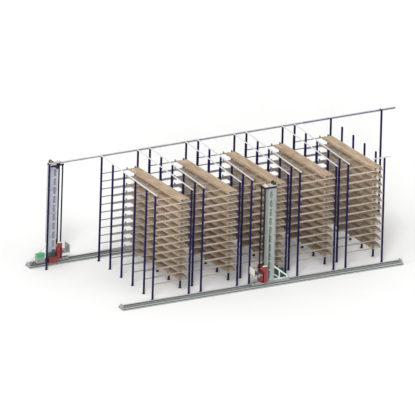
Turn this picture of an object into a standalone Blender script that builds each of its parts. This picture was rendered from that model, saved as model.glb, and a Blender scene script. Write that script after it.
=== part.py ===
"""Gravity-flow pallet rack served by two stacker cranes, in metres with +Z up.

The origin is on the floor, in the middle of the installation. +X runs along the aisles
and the front aisle, where pallets go in, is at -Y. Lanes fall gently towards the rear.
"""

import math

import bmesh
import bpy
from mathutils import Matrix

# Gaps, overlaps and facets
seat_gap = 0.0003
slide_gap = 0.0005
spin_gap = 0.0015
weld_depth = 0.004
cut_overrun = 0.02
shaft_sides = 12
wheel_sides = 20

# Site layout
site_half_length = 20.25
first_column_inset = 7.3
rack_count = 5
rack_pitch = 5.43
bay_width = 4.08
deep_row_count = 5
deep_row_pitch = 2.43
front_row_pitch = 1.885
rear_aisle_offset = 1.35
front_aisle_offset = 1.0

# Uprights and cross-beams
post_height = 11.23
post_width = 0.16
post_depth = 0.14
foot_width = 0.28
foot_depth = 0.24
foot_thickness = 0.02
beam_height = 0.1
beam_depth = 0.05
level_count = 11
level_pitch = 0.83
lowest_beam_top = 1.12

# Inclined lanes and the pallets standing on them
lane_slope_share = 0.0517
lane_overhang = 0.1
rail_width = 0.06
rail_height = 0.12
left_rail_inset = 2.9
rail_setback = 0.05
pallet_width = 1.02
pallet_length = 1.2
pallet_height = 0.15
pallets_per_lane = 9
pallet_setback = 0.75

# Roof ties and the guide rails at the top of each aisle
tie_width = 0.08
tie_height = 0.1
guide_offset = 0.3
guide_width = 0.06
guide_drop = 0.2
guide_rise = 0.05
tie_overhang = 0.06
front_tie_reach = 0.3
rear_guide_inset = 1.3
start_post_setback = 1.4
end_post_setback = 1.7
front_guide_lead = 1.3
front_guide_tail = 0.7
front_guide_height = 0.1

# Floor tracks
track_width = 1.1
track_slab_height = 0.05
running_rail_width = 0.08
running_rail_height = 0.2
channel_width = 0.12
channel_height = 0.235
channel_edge = 0.02
rear_track_length = 39.2
front_track_lead = 4.05
front_track_length = 31.55
stop_thickness = 0.15
stop_width = 0.6
stop_height = 0.45
stop_edge = 0.02

# Crane: base beam and wheels
front_crane_inset = 19.85
rear_crane_buffer_gap = 0.1
base_rear_reach = 2.28
base_front_reach = 2.0
base_width = 0.32
base_bottom = 0.25
base_top = 0.52
wheel_radius = 0.155
wheel_tread = 0.1
hub_radius = 0.07
axle_radius = 0.04
axle_length = 0.36
wheel_slot_length = 0.4
wheel_slot_width = 0.14
rear_wheel_setback = 0.38
front_wheel_setback = 0.4
plate_thickness = 0.08

# Crane: mast, brace and guide frame
mast_width = 0.84
mast_depth = 0.54
mast_top = 10.55
window_count = 10
window_pitch = 0.95
window_height = 0.7
window_width = 0.26
window_offset = 0.1
first_window_height = 0.9
brace_thickness = 0.12
brace_height = 1.58
brace_reach = 1.68
brace_toe = 0.23
brace_rim = 0.2
column_width = 0.12
column_reach = 0.88
column_spacing = 0.74
column_plate_length = 0.32
column_plate_width = 1.0
head_front_reach = 1.0
head_width = 0.9
head_thickness = 0.17
arm_width = 0.3
shoe_length = 0.4
shoe_cheek = 0.05
shoe_grip = 0.12

# Crane: hoist drive, rope drum and cabinet
drive_rear_reach = 0.5
drive_front_reach = 0.35
drive_outreach = 0.78
drive_height = 0.68
drive_plate_thickness = 0.05
drive_plate_edge = 0.05
motor_radius = 0.14
motor_height = 0.26
drum_core_radius = 0.15
drum_flange_radius = 0.19
drum_flange_thickness = 0.02
drum_length = 0.26
drum_shaft_radius = 0.03
drum_shaft_length = 0.08
drum_rise = 0.36
cabinet_near_reach = 0.95
cabinet_length = 0.9
cabinet_inner_side = 0.2
cabinet_depth = 0.4
cabinet_height = 0.93
cabinet_plate_edge = 0.05

# Crane: lifting carriage and telescopic fork
carriage_reach = 1.0
carriage_width = 1.1
carriage_bottom = 0.55
carriage_top = 1.85
rear_table_height = 1.2
front_table_height = 1.44
table_reach = 1.9
table_thickness = 0.1
knee_height = 0.45
knee_share = 0.75
knee_thickness = 0.12
guard_thickness = 0.06
guard_height = 0.7
guard_width = 1.0
fork_place_share = 0.43
fork_width_share = 0.43
fork_length = 1.1
fork_floor = 0.03
fork_wall = 0.04
fork_wall_height = 0.09
fork_tip_height = 0.09
guide_rib_width = 0.06
guide_rib_height = 0.06
guide_rib_length = 1.0

# Places worked out from the sizes above
row_count = deep_row_count + 1
rack_depth = (deep_row_count - 1) * deep_row_pitch + front_row_pitch
rear_row_y = (rack_depth + front_aisle_offset - rear_aisle_offset) / 2
front_row_y = rear_row_y - rack_depth
row_places = [rear_row_y - row * deep_row_pitch for row in range(deep_row_count)]
row_places.append(front_row_y)
first_column_x = first_column_inset - site_half_length
start_post_x = start_post_setback - site_half_length
end_post_x = site_half_length - end_post_setback
last_column_x = first_column_x + (rack_count - 1) * rack_pitch + bay_width
rear_track_y = rear_row_y + rear_aisle_offset
front_track_y = front_row_y - front_aisle_offset
lane_angle = math.atan(lane_slope_share)
rail_spacing = pallet_width - 2 * rail_setback
rail_top = running_rail_height
rear_wheel_reach = base_rear_reach - rear_wheel_setback
front_wheel_reach = base_front_reach - front_wheel_setback
rear_crane_inset = stop_edge + stop_thickness + rear_crane_buffer_gap + base_rear_reach
fork_space = table_reach - guard_thickness - carriage_reach
fork_reach = carriage_reach + fork_place_share * fork_space
fork_width = fork_width_share * fork_space
knee_reach = knee_share * fork_space
wheel_height = rail_top + seat_gap + wheel_radius
plate_top = base_top - weld_depth


def clear_scene():
    for obj in list(bpy.data.objects):
        bpy.data.objects.remove(obj, do_unlink=True)


def new_collection(name):
    collection = bpy.data.collections.new(name)
    bpy.context.scene.collection.children.link(collection)
    return collection


def paint(name, colour, roughness, metallic=0.0):
    material = bpy.data.materials.new(name)
    material.use_nodes = True
    shader = material.node_tree.nodes["Principled BSDF"]
    shader.inputs["Base Color"].default_value = (*colour, 1.0)
    shader.inputs["Roughness"].default_value = roughness
    shader.inputs["Metallic"].default_value = metallic
    return material


def add_box(mesh, low, high, slot=0, turn=None):
    """Adds a box between two corners, moved by the matrix turn where one is given."""
    size = [top - bottom for bottom, top in zip(low, high)]
    centre = [(top + bottom) / 2 for bottom, top in zip(low, high)]
    place = Matrix.Translation(centre) @ Matrix.Diagonal((*size, 1.0))
    if turn is not None:
        place = turn @ place
    made = bmesh.ops.create_cube(mesh, size=1.0, matrix=place)
    for face in {face for vert in made["verts"] for face in vert.link_faces}:
        face.material_index = slot


def add_round(mesh, centre, radius, length, axis, sides=shaft_sides):
    """Adds a cylinder with its middle at centre, along X, Y or Z."""
    quarter = math.pi / 2
    turns = {"X": Matrix.Rotation(quarter, 4, "Y"), "Y": Matrix.Rotation(quarter, 4, "X"), "Z": Matrix()}
    bmesh.ops.create_cone(
        mesh,
        cap_ends=True,
        segments=sides,
        radius1=radius,
        radius2=radius,
        depth=length,
        matrix=Matrix.Translation(centre) @ turns[axis],
    )


def new_object(name, mesh, materials, collection, location=(0, 0, 0), parent=None):
    data = bpy.data.meshes.new(name)
    mesh.to_mesh(data)
    mesh.free()
    for material in materials:
        data.materials.append(material)
    obj = bpy.data.objects.new(name, data)
    obj.location = location
    obj.parent = parent
    collection.objects.link(obj)
    return obj


def combine(obj, mesh, operation):
    """Joins a helper mesh to the object, or cuts it away, with a Boolean."""
    helper = new_object(f"{obj.name}_{operation.lower()}", mesh, obj.data.materials, cutters, parent=obj)
    helper.hide_render = True
    helper.display_type = "WIRE"
    boolean = obj.modifiers.new(operation.title(), "BOOLEAN")
    boolean.operation = operation
    boolean.solver = "EXACT"
    boolean.use_self = operation == "UNION"
    boolean.object = helper


def flat_plate(name, outlines, thickness):
    """A plate in the XZ plane from closed outlines, the first outside and the others holes."""
    curve = bpy.data.curves.new(name, "CURVE")
    curve.dimensions = "2D"
    curve.fill_mode = "BOTH"
    curve.extrude = thickness / 2
    for outline in outlines:
        spline = curve.splines.new("POLY")
        spline.points.add(len(outline) - 1)
        for point, (across, up) in zip(spline.points, outline):
            point.co = (across, up, 0, 1)
        spline.use_cyclic_u = True
    guide = bpy.data.objects.new(name, curve)
    cutters.objects.link(guide)
    bpy.context.view_layer.update()
    graph = bpy.context.evaluated_depsgraph_get()
    data = bpy.data.meshes.new_from_object(guide.evaluated_get(graph))
    mesh = bmesh.new()
    mesh.from_mesh(data)
    bpy.data.objects.remove(guide, do_unlink=True)
    bmesh.ops.remove_doubles(mesh, verts=mesh.verts, dist=seat_gap / 2)
    bmesh.ops.rotate(mesh, verts=mesh.verts, cent=(0, 0, 0), matrix=Matrix.Rotation(math.pi / 2, 3, "X"))
    return mesh


def beam_top(level, row):
    """Height of a cross-beam: the beam that carries a lane is welded to it, the others stop just short."""
    seat = lane_seat(level, row_places[row])
    if carrier_row(level) == row:
        return seat + weld_depth
    return seat - lane_slope_share * beam_depth / 2 - seat_gap


def lane_seat(level, y):
    """Height of a lane's underside at a place along it."""
    return lowest_beam_top + level * level_pitch + lane_slope_share * (rear_row_y - y)


def carrier_row(level):
    return level % row_count


def add_lane(mesh, level, row):
    """Two rails and the row of pallets on them, in the coordinates of the frame that carries them."""
    y = row_places[row]
    turn = Matrix.Translation((0, 0, lane_seat(level, y))) @ Matrix.Rotation(-lane_angle, 4, "X")
    stretch = 1 / math.cos(lane_angle)
    rear = (rear_row_y + lane_overhang - y) * stretch
    front = (front_row_y - lane_overhang - y) * stretch
    for rail_x in (left_rail_inset, left_rail_inset + rail_spacing):
        low = (rail_x - rail_width / 2, front, 0)
        high = (rail_x + rail_width / 2, rear, rail_height)
        add_box(mesh, low, high, slot=1, turn=turn)
    middle = left_rail_inset + rail_spacing / 2
    pallet_rear = (rear_row_y - pallet_setback - y) * stretch
    pallet_front = pallet_rear - pallets_per_lane * pallet_length
    low = (middle - pallet_width / 2, pallet_front, rail_height - weld_depth)
    high = (middle + pallet_width / 2, pallet_rear, rail_height + pallet_height)
    add_box(mesh, low, high, slot=2, turn=turn)


def add_post(mesh, x):
    low = (x - post_width / 2, -post_depth / 2, foot_thickness / 2)
    high = (x + post_width / 2, post_depth / 2, post_height)
    add_box(mesh, low, high)


def add_foot(mesh, x):
    low = (x - foot_width / 2, -foot_depth / 2, 0)
    high = (x + foot_width / 2, foot_depth / 2, foot_thickness)
    add_box(mesh, low, high)


def make_row_frame(rack, row):
    """Two uprights and their cross-beams, with the lanes that are welded to this row."""
    posts = bmesh.new()
    add_post(posts, 0)
    add_post(posts, bay_width)
    place = (first_column_x + rack * rack_pitch, row_places[row], 0)
    frame = new_object(f"rack_{rack + 1}_frame_{row + 1}", posts, rack_paints, parts, place)
    rest = bmesh.new()
    add_foot(rest, 0)
    add_foot(rest, bay_width)
    beam_start = post_width / 2 - weld_depth
    for level in range(level_count):
        top = beam_top(level, row)
        low = (beam_start, -beam_depth / 2, top - beam_height)
        high = (bay_width - beam_start, beam_depth / 2, top)
        add_box(rest, low, high, slot=1)
        if carrier_row(level) == row:
            add_lane(rest, level, row)
    combine(frame, rest, "UNION")


def add_tie(mesh, x, front_y):
    low = (x - tie_width / 2, front_y, post_height + seat_gap)
    high = (x + tie_width / 2, rear_row_y + guide_offset + tie_overhang, post_height + tie_height)
    add_box(mesh, low, high)


def make_roof_grid():
    """The rear guide rail with the ties that run forward over the rows of posts."""
    mesh = bmesh.new()
    low = (rear_guide_inset - site_half_length, rear_row_y + guide_offset - guide_width / 2, post_height - guide_drop)
    high = (site_half_length, rear_row_y + guide_offset + guide_width / 2, post_height + guide_rise)
    add_box(mesh, low, high)
    grid = new_object("roof_grid", mesh, [galvanised], parts)
    ties = bmesh.new()
    column_places = []
    for rack in range(rack_count):
        left_x = first_column_x + rack * rack_pitch
        column_places += [left_x, left_x + bay_width]
    for x in column_places[:-1]:
        add_tie(ties, x, front_row_y - front_tie_reach)
    for x in (start_post_x, end_post_x):
        add_tie(ties, x, rear_row_y - post_depth / 2)
    combine(grid, ties, "UNION")


def make_rail_post(name, x):
    """A post of its own that carries one end of the rear guide rail."""
    mesh = bmesh.new()
    add_post(mesh, 0)
    post = new_object(name, mesh, [upright_blue], parts, (x, rear_row_y, 0))
    foot = bmesh.new()
    add_foot(foot, 0)
    combine(post, foot, "UNION")


def make_front_guide():
    """The short end piece of guide rail on top of the last front post."""
    mesh = bmesh.new()
    low = (-front_guide_lead, -guide_width / 2, seat_gap)
    add_box(mesh, low, (front_guide_tail, guide_width / 2, front_guide_height))
    place = (last_column_x, front_row_y, post_height)
    new_object("front_guide_rail", mesh, [galvanised], parts, place)


def make_track(name, start_x, length, y):
    """A floor slab with the running rail, a channel along each edge and an end stop at each end."""
    slab = bmesh.new()
    add_box(slab, (0, -track_width / 2, 0), (length, track_width / 2, track_slab_height))
    track = new_object(name, slab, [galvanised], parts, (start_x, y, 0))
    rails = bmesh.new()
    bottom = track_slab_height - weld_depth
    channel_outer = track_width / 2 - channel_edge
    channel_inner = channel_outer - channel_width
    inset = stop_edge / 2
    strips = [
        (-running_rail_width / 2, running_rail_width / 2, rail_top),
        (-channel_outer, -channel_inner, channel_height),
        (channel_inner, channel_outer, channel_height),
    ]
    for low_y, high_y, top in strips:
        add_box(rails, (inset, low_y, bottom), (length - inset, high_y, top))
    for stop_x in (stop_edge, length - stop_edge - stop_thickness):
        low = (stop_x, -stop_width / 2, bottom - weld_depth)
        add_box(rails, low, (stop_x + stop_thickness, stop_width / 2, stop_height))
    combine(track, rails, "UNION")


def make_base(name, parent):
    """The travelling beam, with slots for its wheels and plates for what stands on it."""
    beam = bmesh.new()
    half = base_width / 2
    add_box(beam, (-base_rear_reach, -half, base_bottom), (base_front_reach, half, base_top))
    base = new_object(f"{name}_base", beam, [machine_grey], parts, parent=parent)
    plates = bmesh.new()
    plate_bottom = base_top - plate_thickness
    root = half - weld_depth
    column_low = (column_reach - column_plate_length / 2, -column_plate_width / 2, plate_bottom)
    column_high = (column_reach + column_plate_length / 2, column_plate_width / 2, plate_top)
    add_box(plates, column_low, column_high)
    cabinet_far = cabinet_near_reach + cabinet_length
    cabinet_low_y = -cabinet_inner_side - cabinet_depth + cabinet_plate_edge
    cabinet_low = (cabinet_plate_edge - cabinet_far, cabinet_low_y, plate_bottom)
    cabinet_high = (-cabinet_near_reach - cabinet_plate_edge, -root, plate_top)
    add_box(plates, cabinet_low, cabinet_high)
    drive_low = (drive_plate_edge - drive_rear_reach, drive_plate_edge - drive_outreach, base_bottom - weld_depth)
    drive_high = (drive_front_reach - drive_plate_edge, -root, base_bottom - weld_depth + drive_plate_thickness)
    add_box(plates, drive_low, drive_high)
    combine(base, plates, "UNION")
    slots = bmesh.new()
    for wheel_x in (-rear_wheel_reach, front_wheel_reach):
        low = (wheel_x - wheel_slot_length / 2, -wheel_slot_width / 2, base_bottom - cut_overrun)
        high = (wheel_x + wheel_slot_length / 2, wheel_slot_width / 2, base_top + cut_overrun)
        add_box(slots, low, high)
        bore = axle_radius + spin_gap
        add_round(slots, (wheel_x, 0, wheel_height), bore, base_width + cut_overrun, "Y")
    combine(base, slots, "DIFFERENCE")
    base.modifiers["Difference"].use_self = True


def make_wheel(name, end, wheel_x, parent):
    """A flat-tread wheel with its hub and axle in one, centred on its own axis."""
    tread = bmesh.new()
    add_round(tread, (0, 0, 0), wheel_radius, wheel_tread, "Y", wheel_sides)
    wheel = new_object(f"{name}_{end}_wheel", tread, [dark_steel], parts, (wheel_x, 0, wheel_height), parent)
    hub = bmesh.new()
    add_round(hub, (0, 0, 0), hub_radius, wheel_slot_width - 2 * seat_gap, "Y")
    add_round(hub, (0, 0, 0), axle_radius, axle_length, "Y")
    combine(wheel, hub, "UNION")


def make_mast(name, parent):
    """The box mast with a row of openings up its load side."""
    shell = bmesh.new()
    low = (-mast_width / 2, -mast_depth / 2, base_top + seat_gap)
    high = (mast_width / 2, mast_depth / 2, mast_top - seat_gap)
    add_box(shell, low, high)
    mast = new_object(f"{name}_mast", shell, [mast_grey], parts, parent=parent)
    windows = bmesh.new()
    reach = mast_depth / 2 + cut_overrun
    for window in range(window_count):
        bottom = first_window_height + window * window_pitch
        low = (window_offset - window_width / 2, -reach, bottom)
        high = (window_offset + window_width / 2, reach, bottom + window_height)
        add_box(windows, low, high)
    combine(mast, windows, "DIFFERENCE")


def make_brace(name, parent):
    """The gusset between the mast's back and the base, with a triangular opening."""
    foot = base_top + seat_gap
    near = -mast_width / 2 - seat_gap
    far = near - brace_reach
    outside = [(near, foot), (near, foot + brace_height), (far, foot + brace_toe), (far, foot)]
    fall_share = (brace_height - brace_toe) / brace_reach
    hole_near = near - brace_rim
    hole_foot = foot + brace_rim
    hole_height = brace_height - 2 * brace_rim - fall_share * brace_rim
    hole_reach = hole_height / fall_share
    inside = [(hole_near, hole_foot), (hole_near, hole_foot + hole_height), (hole_near - hole_reach, hole_foot)]
    mesh = flat_plate(f"{name}_brace_outline", [outside, inside], brace_thickness)
    new_object(f"{name}_brace", mesh, [machine_grey], parts, parent=parent)


def add_guide_shoe(mesh):
    """The arm from the head plate to the shoe, which holds the guide rail from both sides."""
    rail_y = guide_offset - rear_aisle_offset
    rail_bottom = post_height - guide_drop
    arm_end = rail_y - guide_width / 2 - slide_gap - shoe_cheek
    arm_top = mast_top + head_thickness - weld_depth
    add_box(mesh, (-arm_width / 2, arm_end, mast_top + weld_depth), (arm_width / 2, 0, arm_top))
    shoe_floor = rail_bottom - slide_gap
    for side in (-1, 1):
        inner = rail_y + side * (guide_width / 2 + slide_gap)
        outer = inner + side * shoe_cheek
        low = (-shoe_length / 2, min(inner, outer), shoe_floor - weld_depth)
        add_box(mesh, low, (shoe_length / 2, max(inner, outer), rail_bottom + shoe_grip))
    reach = guide_width / 2 + slide_gap + weld_depth
    low = (weld_depth - arm_width / 2, rail_y - reach, arm_top - weld_depth)
    add_box(mesh, low, (arm_width / 2 - weld_depth, rail_y + reach, shoe_floor))


def make_guide_frame(name, has_shoe, parent):
    """Two slim columns under a head plate, with a shoe where a guide rail runs overhead."""
    head = bmesh.new()
    low = (-mast_width / 2, -head_width / 2, mast_top)
    add_box(head, low, (head_front_reach, head_width / 2, mast_top + head_thickness))
    frame = new_object(f"{name}_guide_frame", head, [upright_blue], parts, parent=parent)
    rest = bmesh.new()
    half = column_width / 2
    for column_y in (-column_spacing / 2, column_spacing / 2):
        low = (column_reach - half, column_y - half, plate_top + seat_gap)
        high = (column_reach + half, column_y + half, mast_top + weld_depth)
        add_box(rest, low, high)
    if has_shoe:
        add_guide_shoe(rest)
    combine(frame, rest, "UNION")


def make_hoist(name, parent):
    """The hoist's gearbox and motor beside the mast, and the rope drum on its shaft."""
    inner_y = -mast_depth / 2 - seat_gap
    floor = base_bottom - weld_depth + drive_plate_thickness + seat_gap
    box = bmesh.new()
    low = (-drive_rear_reach, -drive_outreach, floor)
    add_box(box, low, (drive_front_reach, inner_y, floor + drive_height))
    drive = new_object(f"{name}_hoist_drive", box, [machine_red], parts, parent=parent)
    middle_y = (inner_y - drive_outreach) / 2
    motor = bmesh.new()
    motor_low = floor + drive_height - weld_depth
    add_round(motor, (0, middle_y, motor_low + motor_height / 2), motor_radius, motor_height, "Z")
    combine(drive, motor, "UNION")
    bore = bmesh.new()
    drum_z = floor + drum_rise
    bore_length = 2 * (drum_shaft_length + cut_overrun)
    bore_place = (-drive_rear_reach, middle_y, drum_z)
    add_round(bore, bore_place, drum_shaft_radius + spin_gap, bore_length, "X")
    combine(drive, bore, "DIFFERENCE")
    core = bmesh.new()
    add_round(core, (0, 0, 0), drum_core_radius, drum_length, "X")
    drum_x = -drive_rear_reach - seat_gap - drum_length / 2 - drum_flange_thickness / 2
    drum = new_object(f"{name}_rope_drum", core, [dark_steel], parts, (drum_x, middle_y, drum_z), parent)
    ends = bmesh.new()
    for side in (-1, 1):
        add_round(ends, (side * drum_length / 2, 0, 0), drum_flange_radius, drum_flange_thickness, "X")
    shaft_start = drum_length / 2 - drum_flange_thickness
    shaft_end = drum_length / 2 + drum_flange_thickness / 2 + drum_shaft_length
    shaft_middle = (shaft_start + shaft_end) / 2
    add_round(ends, (shaft_middle, 0, 0), drum_shaft_radius, shaft_end - shaft_start, "X")
    combine(drum, ends, "UNION")


def make_cabinet(name, parent):
    mesh = bmesh.new()
    far = -cabinet_near_reach - cabinet_length
    low = (far, -cabinet_inner_side - cabinet_depth, plate_top + seat_gap)
    add_box(mesh, low, (-cabinet_near_reach, -cabinet_inner_side, plate_top + cabinet_height))
    new_object(f"{name}_cabinet", mesh, [cabinet_green], parts, parent=parent)


def make_carriage(name, table_height, parent):
    """The lifting carriage: a housing notched round the columns, and the load table beside it."""
    shell = bmesh.new()
    half = carriage_width / 2
    near = mast_width / 2 + slide_gap
    add_box(shell, (near, -half, carriage_bottom), (carriage_reach, half, carriage_top))
    carriage = new_object(f"{name}_carriage", shell, [machine_red], parts, parent=parent)
    table = bmesh.new()
    root = carriage_reach - weld_depth
    table_half = half - weld_depth
    low = (root, -table_half, table_height - table_thickness)
    add_box(table, low, (table_reach, table_half, table_height), slot=0)
    guard_low = (table_reach - guard_thickness, -guard_width / 2, table_height - weld_depth)
    guard_high = (table_reach - weld_depth, guard_width / 2, table_height + guard_height)
    add_box(table, guard_low, guard_high)
    knee_top = table_height - table_thickness + weld_depth
    knee_low = (root, -knee_thickness / 2, knee_top - knee_height)
    add_box(table, knee_low, (carriage_reach + knee_reach, knee_thickness / 2, knee_top))
    rib_inner = fork_width / 2 + seat_gap
    for side in (-1, 1):
        inner = fork_reach + side * rib_inner
        outer = inner + side * guide_rib_width
        low = (min(inner, outer), -guide_rib_length / 2, table_height - weld_depth)
        high = (max(inner, outer), guide_rib_length / 2, table_height + guide_rib_height)
        add_box(table, low, high)
    combine(carriage, table, "UNION")
    notches = bmesh.new()
    notch_half = column_width / 2 + slide_gap
    for side in (-1, 1):
        inner = side * (column_spacing / 2 - notch_half)
        outer = side * (half + cut_overrun)
        low = (column_reach - notch_half, min(inner, outer), carriage_bottom - cut_overrun)
        high = (column_reach + notch_half, max(inner, outer), carriage_top + cut_overrun)
        add_box(notches, low, high)
    combine(carriage, notches, "DIFFERENCE")


def make_fork(name, table_height, parent):
    """The telescopic fork: a channel that runs on the table, and the tip that runs inside it."""
    half = fork_width / 2
    floor = bmesh.new()
    low = (-half, -fork_length / 2, seat_gap)
    add_box(floor, low, (half, fork_length / 2, fork_floor))
    place = (fork_reach, 0, table_height)
    channel = new_object(f"{name}_fork_channel", floor, [dark_steel], parts, place, parent)
    walls = bmesh.new()
    end = fork_length / 2 - weld_depth
    for side in (-1, 1):
        outer = side * (half - weld_depth)
        inner = side * (half - fork_wall)
        low = (min(inner, outer), -end, fork_floor - weld_depth)
        add_box(walls, low, (max(inner, outer), end, fork_wall_height))
    combine(channel, walls, "UNION")
    tip = bmesh.new()
    tip_half = half - fork_wall - seat_gap
    add_box(tip, (-tip_half, -end, seat_gap), (tip_half, end, fork_tip_height))
    tip_place = (fork_reach, 0, table_height + fork_floor)
    new_object(f"{name}_fork_tip", tip, [brushed_steel], parts, tip_place, parent)


def make_crane(name, x, y, turn, has_shoe, table_height):
    """A stacker crane on its floor track. Its load side faces +X before it is turned."""
    stand = bpy.data.objects.new(f"{name}_stand", None)
    stand.location = (x, y, 0)
    stand.rotation_euler = (0, 0, turn)
    parts.objects.link(stand)
    make_base(name, stand)
    make_wheel(name, "rear", -rear_wheel_reach, stand)
    make_wheel(name, "front", front_wheel_reach, stand)
    make_mast(name, stand)
    make_brace(name, stand)
    make_guide_frame(name, has_shoe, stand)
    make_hoist(name, stand)
    make_cabinet(name, stand)
    make_carriage(name, table_height, stand)
    make_fork(name, table_height, stand)


clear_scene()
parts = new_collection("pallet_flow_rack")
cutters = new_collection("cutters")
upright_blue = paint("upright_blue", (0.05, 0.045, 0.19), 0.45)
beam_cream = paint("beam_cream", (0.62, 0.58, 0.52), 0.5)
pallet_wood = paint("pallet_wood", (0.47, 0.31, 0.18), 0.8)
galvanised = paint("galvanised", (0.55, 0.57, 0.56), 0.4, 0.6)
machine_grey = paint("machine_grey", (0.45, 0.48, 0.47), 0.45)
mast_grey = paint("mast_grey", (0.5, 0.54, 0.53), 0.45)
machine_red = paint("machine_red", (0.42, 0.03, 0.03), 0.4)
cabinet_green = paint("cabinet_green", (0.06, 0.3, 0.12), 0.4)
dark_steel = paint("dark_steel", (0.05, 0.05, 0.055), 0.4, 0.8)
brushed_steel = paint("brushed_steel", (0.5, 0.5, 0.5), 0.3, 1.0)
rack_paints = [upright_blue, beam_cream, pallet_wood]

for rack_index in range(rack_count):
    for row_index in range(row_count):
        make_row_frame(rack_index, row_index)
make_roof_grid()
make_rail_post("rail_start_post", start_post_x)
make_rail_post("rail_end_post", end_post_x)
make_front_guide()
make_track("rear_track", -site_half_length, rear_track_length, rear_track_y)
make_track("front_track", first_column_x - front_track_lead, front_track_length, front_track_y)
make_crane(
    "rear_crane",
    rear_crane_inset - site_half_length,
    rear_track_y,
    0.0,
    True,
    rear_table_height,
)
make_crane(
    "front_crane",
    front_crane_inset - site_half_length,
    front_track_y,
    math.pi,
    False,
    front_table_height,
)
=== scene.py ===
import math

import bmesh
import bpy
import numpy as np
from mathutils import Matrix, Vector


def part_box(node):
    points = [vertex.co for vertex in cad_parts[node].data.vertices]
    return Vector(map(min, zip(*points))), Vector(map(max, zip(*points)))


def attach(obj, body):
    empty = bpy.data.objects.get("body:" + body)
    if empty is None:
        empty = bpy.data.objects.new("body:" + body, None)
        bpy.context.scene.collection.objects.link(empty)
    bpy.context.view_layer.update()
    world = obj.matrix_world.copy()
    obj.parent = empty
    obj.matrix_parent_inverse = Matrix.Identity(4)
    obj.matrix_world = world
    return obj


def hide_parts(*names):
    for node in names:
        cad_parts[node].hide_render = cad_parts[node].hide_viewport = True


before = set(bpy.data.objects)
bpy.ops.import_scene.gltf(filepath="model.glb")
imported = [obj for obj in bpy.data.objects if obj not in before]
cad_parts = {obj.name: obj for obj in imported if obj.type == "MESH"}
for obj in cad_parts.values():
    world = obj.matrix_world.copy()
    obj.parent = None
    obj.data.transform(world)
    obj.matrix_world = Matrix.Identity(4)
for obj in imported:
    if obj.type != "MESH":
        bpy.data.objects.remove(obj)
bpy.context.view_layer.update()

print("stage 1: frame loaded,", len(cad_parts), "nodes")

site = {
    "racks": 5,
    "rows": 6,
    "levels": 11,
    "levelPitch": 0.83,
    "laneSlope": 0.0517,
    "seed": 11,
}
rng = np.random.default_rng(site["seed"])


# Small helpers over the edit-mode operators and the applied modifiers

def deselectAll():
    for obj in list(bpy.context.selected_objects):
        obj.select_set(False)


def makeActive(obj):
    deselectAll()
    obj.select_set(True)
    bpy.context.view_layer.objects.active = obj


def startBox(low, high):
    deselectAll()
    size = [b - a for a, b in zip(low, high)]
    middle = [(a + b) / 2 for a, b in zip(low, high)]
    bpy.ops.mesh.primitive_cube_add(size=1, location=middle, scale=size)
    bpy.ops.object.transform_apply(location=True, rotation=True, scale=True)
    return bpy.context.active_object


def startRound(centre, radius, length, axis="Z", sides=16):
    deselectAll()
    turn = {"X": (0, math.pi / 2, 0), "Y": (math.pi / 2, 0, 0), "Z": (0, 0, 0)}[axis]
    bpy.ops.mesh.primitive_cylinder_add(
        vertices=sides, radius=radius, depth=length, location=centre, rotation=turn
    )
    bpy.ops.object.transform_apply(location=True, rotation=True, scale=True)
    return bpy.context.active_object


def pickFaces(obj, test):
    makeActive(obj)
    bpy.ops.object.mode_set(mode="EDIT")
    bpy.ops.mesh.select_mode(type="FACE")
    bpy.ops.mesh.select_all(action="DESELECT")
    mesh = bmesh.from_edit_mesh(obj.data)
    for face in mesh.faces:
        face.select_set(bool(test(face.normal, face.calc_center_median())))
    bmesh.update_edit_mesh(obj.data)


def leaveEdit():
    bpy.ops.object.mode_set(mode="OBJECT")


def insetFaces(obj, test, thickness, depth=0.0):
    pickFaces(obj, test)
    bpy.ops.mesh.inset(thickness=thickness, depth=depth, use_individual=True)
    leaveEdit()


def deleteFaces(obj, test):
    pickFaces(obj, test)
    bpy.ops.mesh.delete(type="FACE")
    leaveEdit()


def applyModifier(obj, kind, **settings):
    makeActive(obj)
    modifier = obj.modifiers.new(kind.title(), kind)
    for key, value in settings.items():
        setattr(modifier, key, value)
    bpy.ops.object.modifier_apply(modifier=modifier.name)
    return obj


sharpAngle = math.radians(40)


def roundEdges(obj, width, segments=1):
    return applyModifier(
        obj, "BEVEL", width=width, segments=segments, limit_method="ANGLE", angle_limit=sharpAngle
    )


# least and most share of a face's normal along an axis, for faces square to it and faces beside it
squareOn = 0.9
beside = 0.1
tubeEdge = {"most": 0.004, "ofRadius": 0.15}


def facing(axis, way=0):
    # a test for the faces that look along an axis, both ways or one way only
    along = "XYZ".index(axis)
    if way:
        return lambda normal, middle: normal[along] * way > squareOn
    return lambda normal, middle: abs(normal[along]) > squareOn


def walls(normal, middle):
    return abs(normal.z) < beside


def around(middle, half):
    return middle - half, middle + half


def mirrored(side, near, far):
    return side * near, side * far


def shifted(span, offset):
    return tuple(offset + place for place in span)


def bar(x, y, z, bevel=0.006, faces=None, panel=None, segments=2):
    # a bar between two places along each axis, in either order, with a bordered panel in its faces
    spans = [sorted(span) for span in (x, y, z)]
    piece = startBox([span[0] for span in spans], [span[1] for span in spans])
    if faces:
        insetFaces(piece, faces, *panel)
    return roundEdges(piece, bevel, segments)


def tube(centre, radius, length, axis="Z", sides=16, panel=None):
    piece = startRound(centre, radius, length, axis, sides)
    if panel:
        insetFaces(piece, facing(axis), *panel)
    return smooth(roundEdges(piece, min(tubeEdge["most"], radius * tubeEdge["ofRadius"])))


def giveWall(obj, thickness):
    return applyModifier(obj, "SOLIDIFY", thickness=thickness, offset=-1)


def repeat(obj, count, step):
    return applyModifier(
        obj,
        "ARRAY",
        count=count,
        use_relative_offset=False,
        use_constant_offset=True,
        constant_offset_displace=step,
    )


def join(pieces):
    deselectAll()
    for piece in pieces:
        piece.select_set(True)
    bpy.context.view_layer.objects.active = pieces[0]
    bpy.ops.object.join()
    return pieces[0]


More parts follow.
